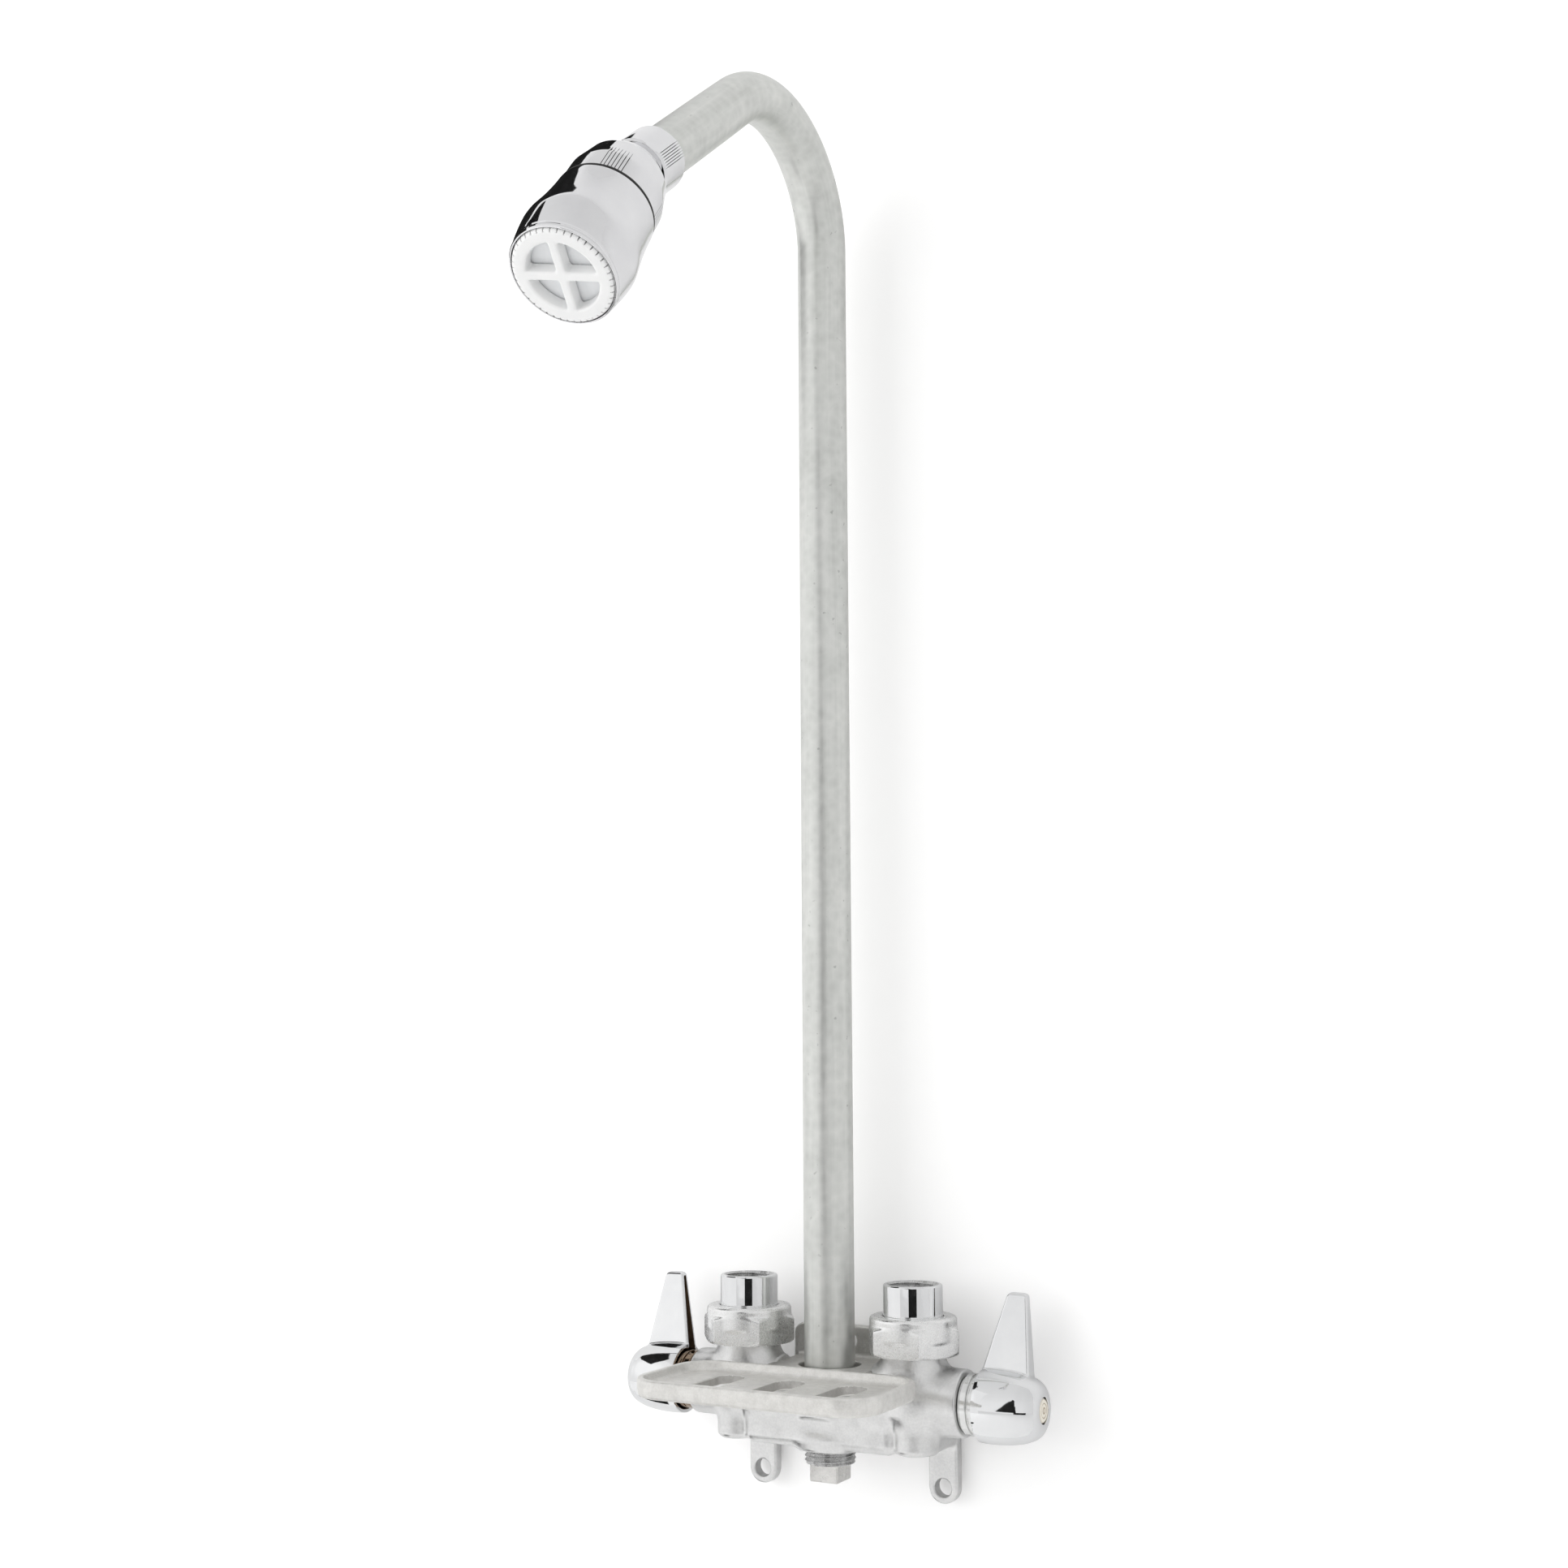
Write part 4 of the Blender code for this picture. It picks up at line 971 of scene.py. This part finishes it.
def jet_field(x, y, z):
    rho = hyp(x, y)
    return tube(rho, z, 18.9, t(4.8), t(6.7), 0.2)


jet = field("jet_plate_moulded", jet_field, (-20, -20, t(4.0)), (20, 20, t(7.4)), 0.36, HEAD, [JET])
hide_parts("jet_plate")
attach(jet, "spray_ring")

# ------------------------------------------------------------------ the collar and ball
FLAT = math.radians(51 - 90)
CK = [math.radians(-7.5), math.radians(172.5)]
C_HALF, C_PITCH, C_WIDTH = 3, math.radians(4.5), math.radians(0.95)


def collar_shape(r, z, th):
    out = r.copy()
    hexed = 12.3 / np.maximum(np.abs(np.cos(th - FLAT)), 0.2)
    on = (z > 5) & (r > 10.96)
    out = np.where(on, np.minimum(r, hexed), out)
    return out - collar_deep(r, z, th)


def collar_deep(r, z, th):
    g = grooves(th, CK, C_HALF, C_PITCH, C_WIDTH)
    zone = np.clip((z - 12.2) / 0.5, 0, 1) * np.clip((27.6 - z) / 0.5, 0, 1) * (r > 12.0)
    return 0.28 * g * zone


ball_arc = [(11.0 * math.cos(a), 11.0 * math.sin(a)) for a in np.linspace(math.radians(50), math.radians(-65), 26)]
COLLAR = [(10.95, 29.0, 0.1), (12.3, 29.0, 0.3), (12.9, 28.4, 0.3), (12.9, 26), (12.9, 22), (12.9, 18), (12.9, 14), (12.9, 11.9, 0.5), (12.3, 11.0, 0.3), (6.6, 11.0, 0.4)] + ball_arc + \
    [(4.0, -9.9), (4.0, 12.4), (5.7, 12.4), (5.7, 15.6), (10.95, 15.6)]
collar_thetas = np.unique(np.concatenate([knurled_angles(180, CK, C_HALF, C_PITCH, C_WIDTH)]))
# the knurl groove floors take the near-black painted shade
collar = turned("swivel_collar_turned", COLLAR, ARM, [HEAD_CHROME, GROOVE_PAINTED_SHADE], rad=0.2, shape=collar_shape, thetas=collar_thetas, deep=collar_deep)
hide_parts("swivel_ball")
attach(collar, "fitting")


# ------------------------------------------------------------------ stage
def plane(name, corners, mat):
    me = bpy.data.meshes.new(name)
    me.from_pydata([tuple(c) for c in corners], [], [(0, 1, 2, 3)])
    me.materials.append(mat)
    ob = bpy.data.objects.new(name, me)
    bpy.context.scene.collection.objects.link(ob)
    return ob


def paint(name, v, see_through_back=False, glow=0.0):
    m, nt, b, co = nodes_of(name)
    b.inputs["Emission Color"].default_value = (1.0, 0.99, 0.98, 1)
    b.inputs["Emission Strength"].default_value = glow
    b.inputs["Roughness"].default_value = 0.9
    b.inputs["Specular IOR Level"].default_value = 0.1
    n1 = noise(nt, co, 3.0, 2, 0.5)
    nt.links.new(ramp(nt, n1, [(0.3, grey(v - 0.004)), (0.7, grey(v + 0.004))]), b.inputs["Base Color"])
    if see_through_back:
        out = [n for n in nt.nodes if n.type == "OUTPUT_MATERIAL"][0]
        geo = nt.nodes.new("ShaderNodeNewGeometry")
        clear = nt.nodes.new("ShaderNodeBsdfTransparent")
        mx = nt.nodes.new("ShaderNodeMixShader")
        nt.links.new(geo.outputs["Backfacing"], mx.inputs[0])
        nt.links.new(b.outputs[0], mx.inputs[1])
        nt.links.new(clear.outputs[0], mx.inputs[2])
        nt.links.new(mx.outputs[0], out.inputs[0])
    return m


wall_paint = paint("wall_paint", 0.93, True, 0.19)
floor_paint = paint("floor_paint", 0.90)
wall = plane("wall", [(-2.6, 0.003, -0.45), (2.6, 0.003, -0.45), (2.6, 0.003, 2.6), (-2.6, 0.003, 2.6)], wall_paint)
floor = plane("floor", [(-3.5, -4.0, -0.45), (3.5, -4.0, -0.45), (3.5, 2.0, -0.45), (-3.5, 2.0, -0.45)], floor_paint)

# dark cards, seen only in reflections: the camera and its operator, and the studio's unlit top left corner
card_mat, card_nt, card_b, card_co = nodes_of("dark_card")
card_b.inputs["Roughness"].default_value = 1.0
card_b.inputs["Specular IOR Level"].default_value = 0.0
card_nt.links.new(ramp(card_nt, noise(card_nt, card_co, 3.0, 2, 0.5), [(0.3, grey(0.010)), (0.7, grey(0.018))]), card_b.inputs["Base Color"])


def card(name, corners):
    ob = plane(name, corners, card_mat)
    ob.visible_camera = False
    ob.visible_diffuse = False
    ob.visible_shadow = False
    ob.visible_transmission = False
    return ob


def around(origin, az, el, dist):
    a, e = math.radians(az), math.radians(el)
    return (origin[0] + dist * math.sin(a) * math.cos(e), origin[1] - dist * math.cos(a) * math.cos(e), origin[2] + dist * math.sin(e))


def only_in_reflections(ob):
    ob.visible_camera = False
    ob.visible_diffuse = False
    ob.visible_shadow = False
    ob.visible_transmission = False


LOW = (0.0, -0.04, 0.05)
card("operator_card", [around(LOW, 10, -9.5, 1.2), around(LOW, 41, -9.5, 1.2), around(LOW, 41, -4, 1.2), around(LOW, 10, -4, 1.2)])
card("camera_card", [around(LOW, -9, -4.5, 1.15), around(LOW, 20, -4.5, 1.15), around(LOW, 13, 33, 1.15), around(LOW, 7, 36, 1.15)])
# above and to the left the white backdrop ends and the room is dark
card("backdrop_top", [(-1.5, -0.002, 0.60), (-0.155, -0.002, 0.60), (-0.155, -0.002, 1.35), (-1.5, -0.002, 1.35)])
card("room_left", [(-1.25, -0.95, 1.08), (-1.25, -0.006, 0.90), (-1.25, -0.006, 2.3), (-1.25, -0.95, 2.3)])
card("room_low_left", [(-0.60, -0.45, -0.43), (-0.31, -0.45, -0.43), (-0.31, -0.02, -0.43), (-0.60, -0.02, -0.43)])
# the wall as polished metal sees it, a little darker than the lit wall itself
grey_wall = plane("wall_in_reflections", [(-2.6, 0.0016, -0.45), (2.6, 0.0016, -0.45), (2.6, 0.0016, 2.6), (-2.6, 0.0016, 2.6)], paint("wall_reflected_paint", 0.84))
only_in_reflections(grey_wall)
# a broad light to the left with soft edges
glow_mat, glow_nt, glow_b, glow_co = nodes_of("left_glow")
GLOW, GLOW_R = (-1.52, -1.02, 0.75), 1.08
mp = glow_nt.nodes.new("ShaderNodeMapping")
mp.inputs["Scale"].default_value = (1 / GLOW_R, 1 / GLOW_R, 1 / GLOW_R)
mp.inputs["Location"].default_value = tuple(-v / GLOW_R for v in GLOW)
glow_nt.links.new(glow_co, mp.inputs["Vector"])
gr = glow_nt.nodes.new("ShaderNodeTexGradient")
gr.gradient_type = "SPHERICAL"
glow_nt.links.new(mp.outputs[0], gr.inputs["Vector"])
em = glow_nt.nodes.new("ShaderNodeEmission")
glow_nt.links.new(ramp(glow_nt, gr.outputs["Fac"], [(0.0, grey(0.86)), (0.12, grey(0.87)), (0.28, grey(0.92)), (0.5, grey(1.0)), (1.0, grey(1.0))]), em.inputs["Color"])
em.inputs["Strength"].default_value = 1.08
glow_nt.links.new(em.outputs[0], [n for n in glow_nt.nodes if n.type == "OUTPUT_MATERIAL"][0].inputs[0])
gx, gy = 0.56, -0.83
glow = plane("left_glow", [(GLOW[0] - 1.15 * gx, GLOW[1] - 1.15 * gy, -0.44), (GLOW[0] + 1.15 * gx, GLOW[1] + 1.15 * gy, -0.44),
                           (GLOW[0] + 1.15 * gx, GLOW[1] + 1.15 * gy, 2.1), (GLOW[0] - 1.15 * gx, GLOW[1] - 1.15 * gy, 2.1)], glow_mat)
only_in_reflections(glow)

# ------------------------------------------------------------------ light
world = bpy.data.worlds.new("studio")
bpy.context.scene.world = world
world.use_nodes = True
bg = world.node_tree.nodes["Background"]
bg.inputs[0].default_value = (1.0, 1.0, 1.0, 1)
bg.inputs[1].default_value = 1.0
wt = world.node_tree
wco = wt.nodes.new("ShaderNodeTexCoord")
wsep = wt.nodes.new("ShaderNodeSeparateXYZ")
wt.links.new(wco.outputs["Generated"], wsep.inputs[0])
across = ramp(wt, math_node(wt, "ADD", math_node(wt, "MULTIPLY", wsep.outputs["X"], 0.5), 0.5), [(0.0, grey(0.93)), (0.5, grey(0.93)), (1.0, grey(0.78))])
above = ramp(wt, wsep.outputs["Z"], [(0.0, grey(1.0)), (0.35, grey(0.98)), (1.0, grey(0.80))])
wmul = wt.nodes.new("ShaderNodeMix")
wmul.data_type = "RGBA"
wmul.blend_type = "MULTIPLY"
wmul.inputs[0].default_value = 1.0
wt.links.new(across, wmul.inputs[6])
wt.links.new(above, wmul.inputs[7])
wt.links.new(wmul.outputs[2], bg.inputs[0])


def softbox(name, loc, aim, w, h, radiance, colour=(1, 1, 1)):
    ld = bpy.data.lights.new(name, "AREA")
    ld.shape = "RECTANGLE"
    ld.size, ld.size_y = w, h
    ld.energy = radiance * math.pi * w * h
    ld.color = colour
    ob = bpy.data.objects.new(name, ld)
    bpy.context.scene.collection.objects.link(ob)
    ob.location = loc
    ob.rotation_mode = "QUATERNION"
    ob.rotation_quaternion = (Vector(aim) - Vector(loc)).to_track_quat("-Z", "Y")
    return ob


key = softbox("left_softbox", (-1.22, -1.38, 0.72), (0, 0, 0.28), 1.6, 1.7, 1.25)
key.visible_glossy = False

# ------------------------------------------------------------------ camera
az, el, roll = math.radians(28.25), math.radians(6.84), math.radians(-0.28)
fw = Vector((-math.sin(az) * math.cos(el), math.cos(az) * math.cos(el), math.sin(el)))
rt = Vector((math.cos(az), math.sin(az), 0))
up = rt.cross(fw)
r2 = rt * math.cos(roll) + up * math.sin(roll)
u2 = -rt * math.sin(roll) + up * math.cos(roll)
cam_data = bpy.data.cameras.new("camera")
cam_data.lens = 45.93
cam_data.sensor_width = 36
cam_data.clip_end = 10
cam = bpy.data.objects.new("camera", cam_data)
bpy.context.scene.collection.objects.link(cam)
cam.matrix_world = Matrix(((r2.x, u2.x, -fw.x, 0.3930), (r2.y, u2.y, -fw.y, -0.7940), (r2.z, u2.z, -fw.z, 0.1918), (0, 0, 0, 1)))
bpy.context.scene.camera = cam
bpy.context.scene.view_settings.view_transform = "Standard"
bpy.context.scene.view_settings.look = "None"

bpy.context.view_layer.update()
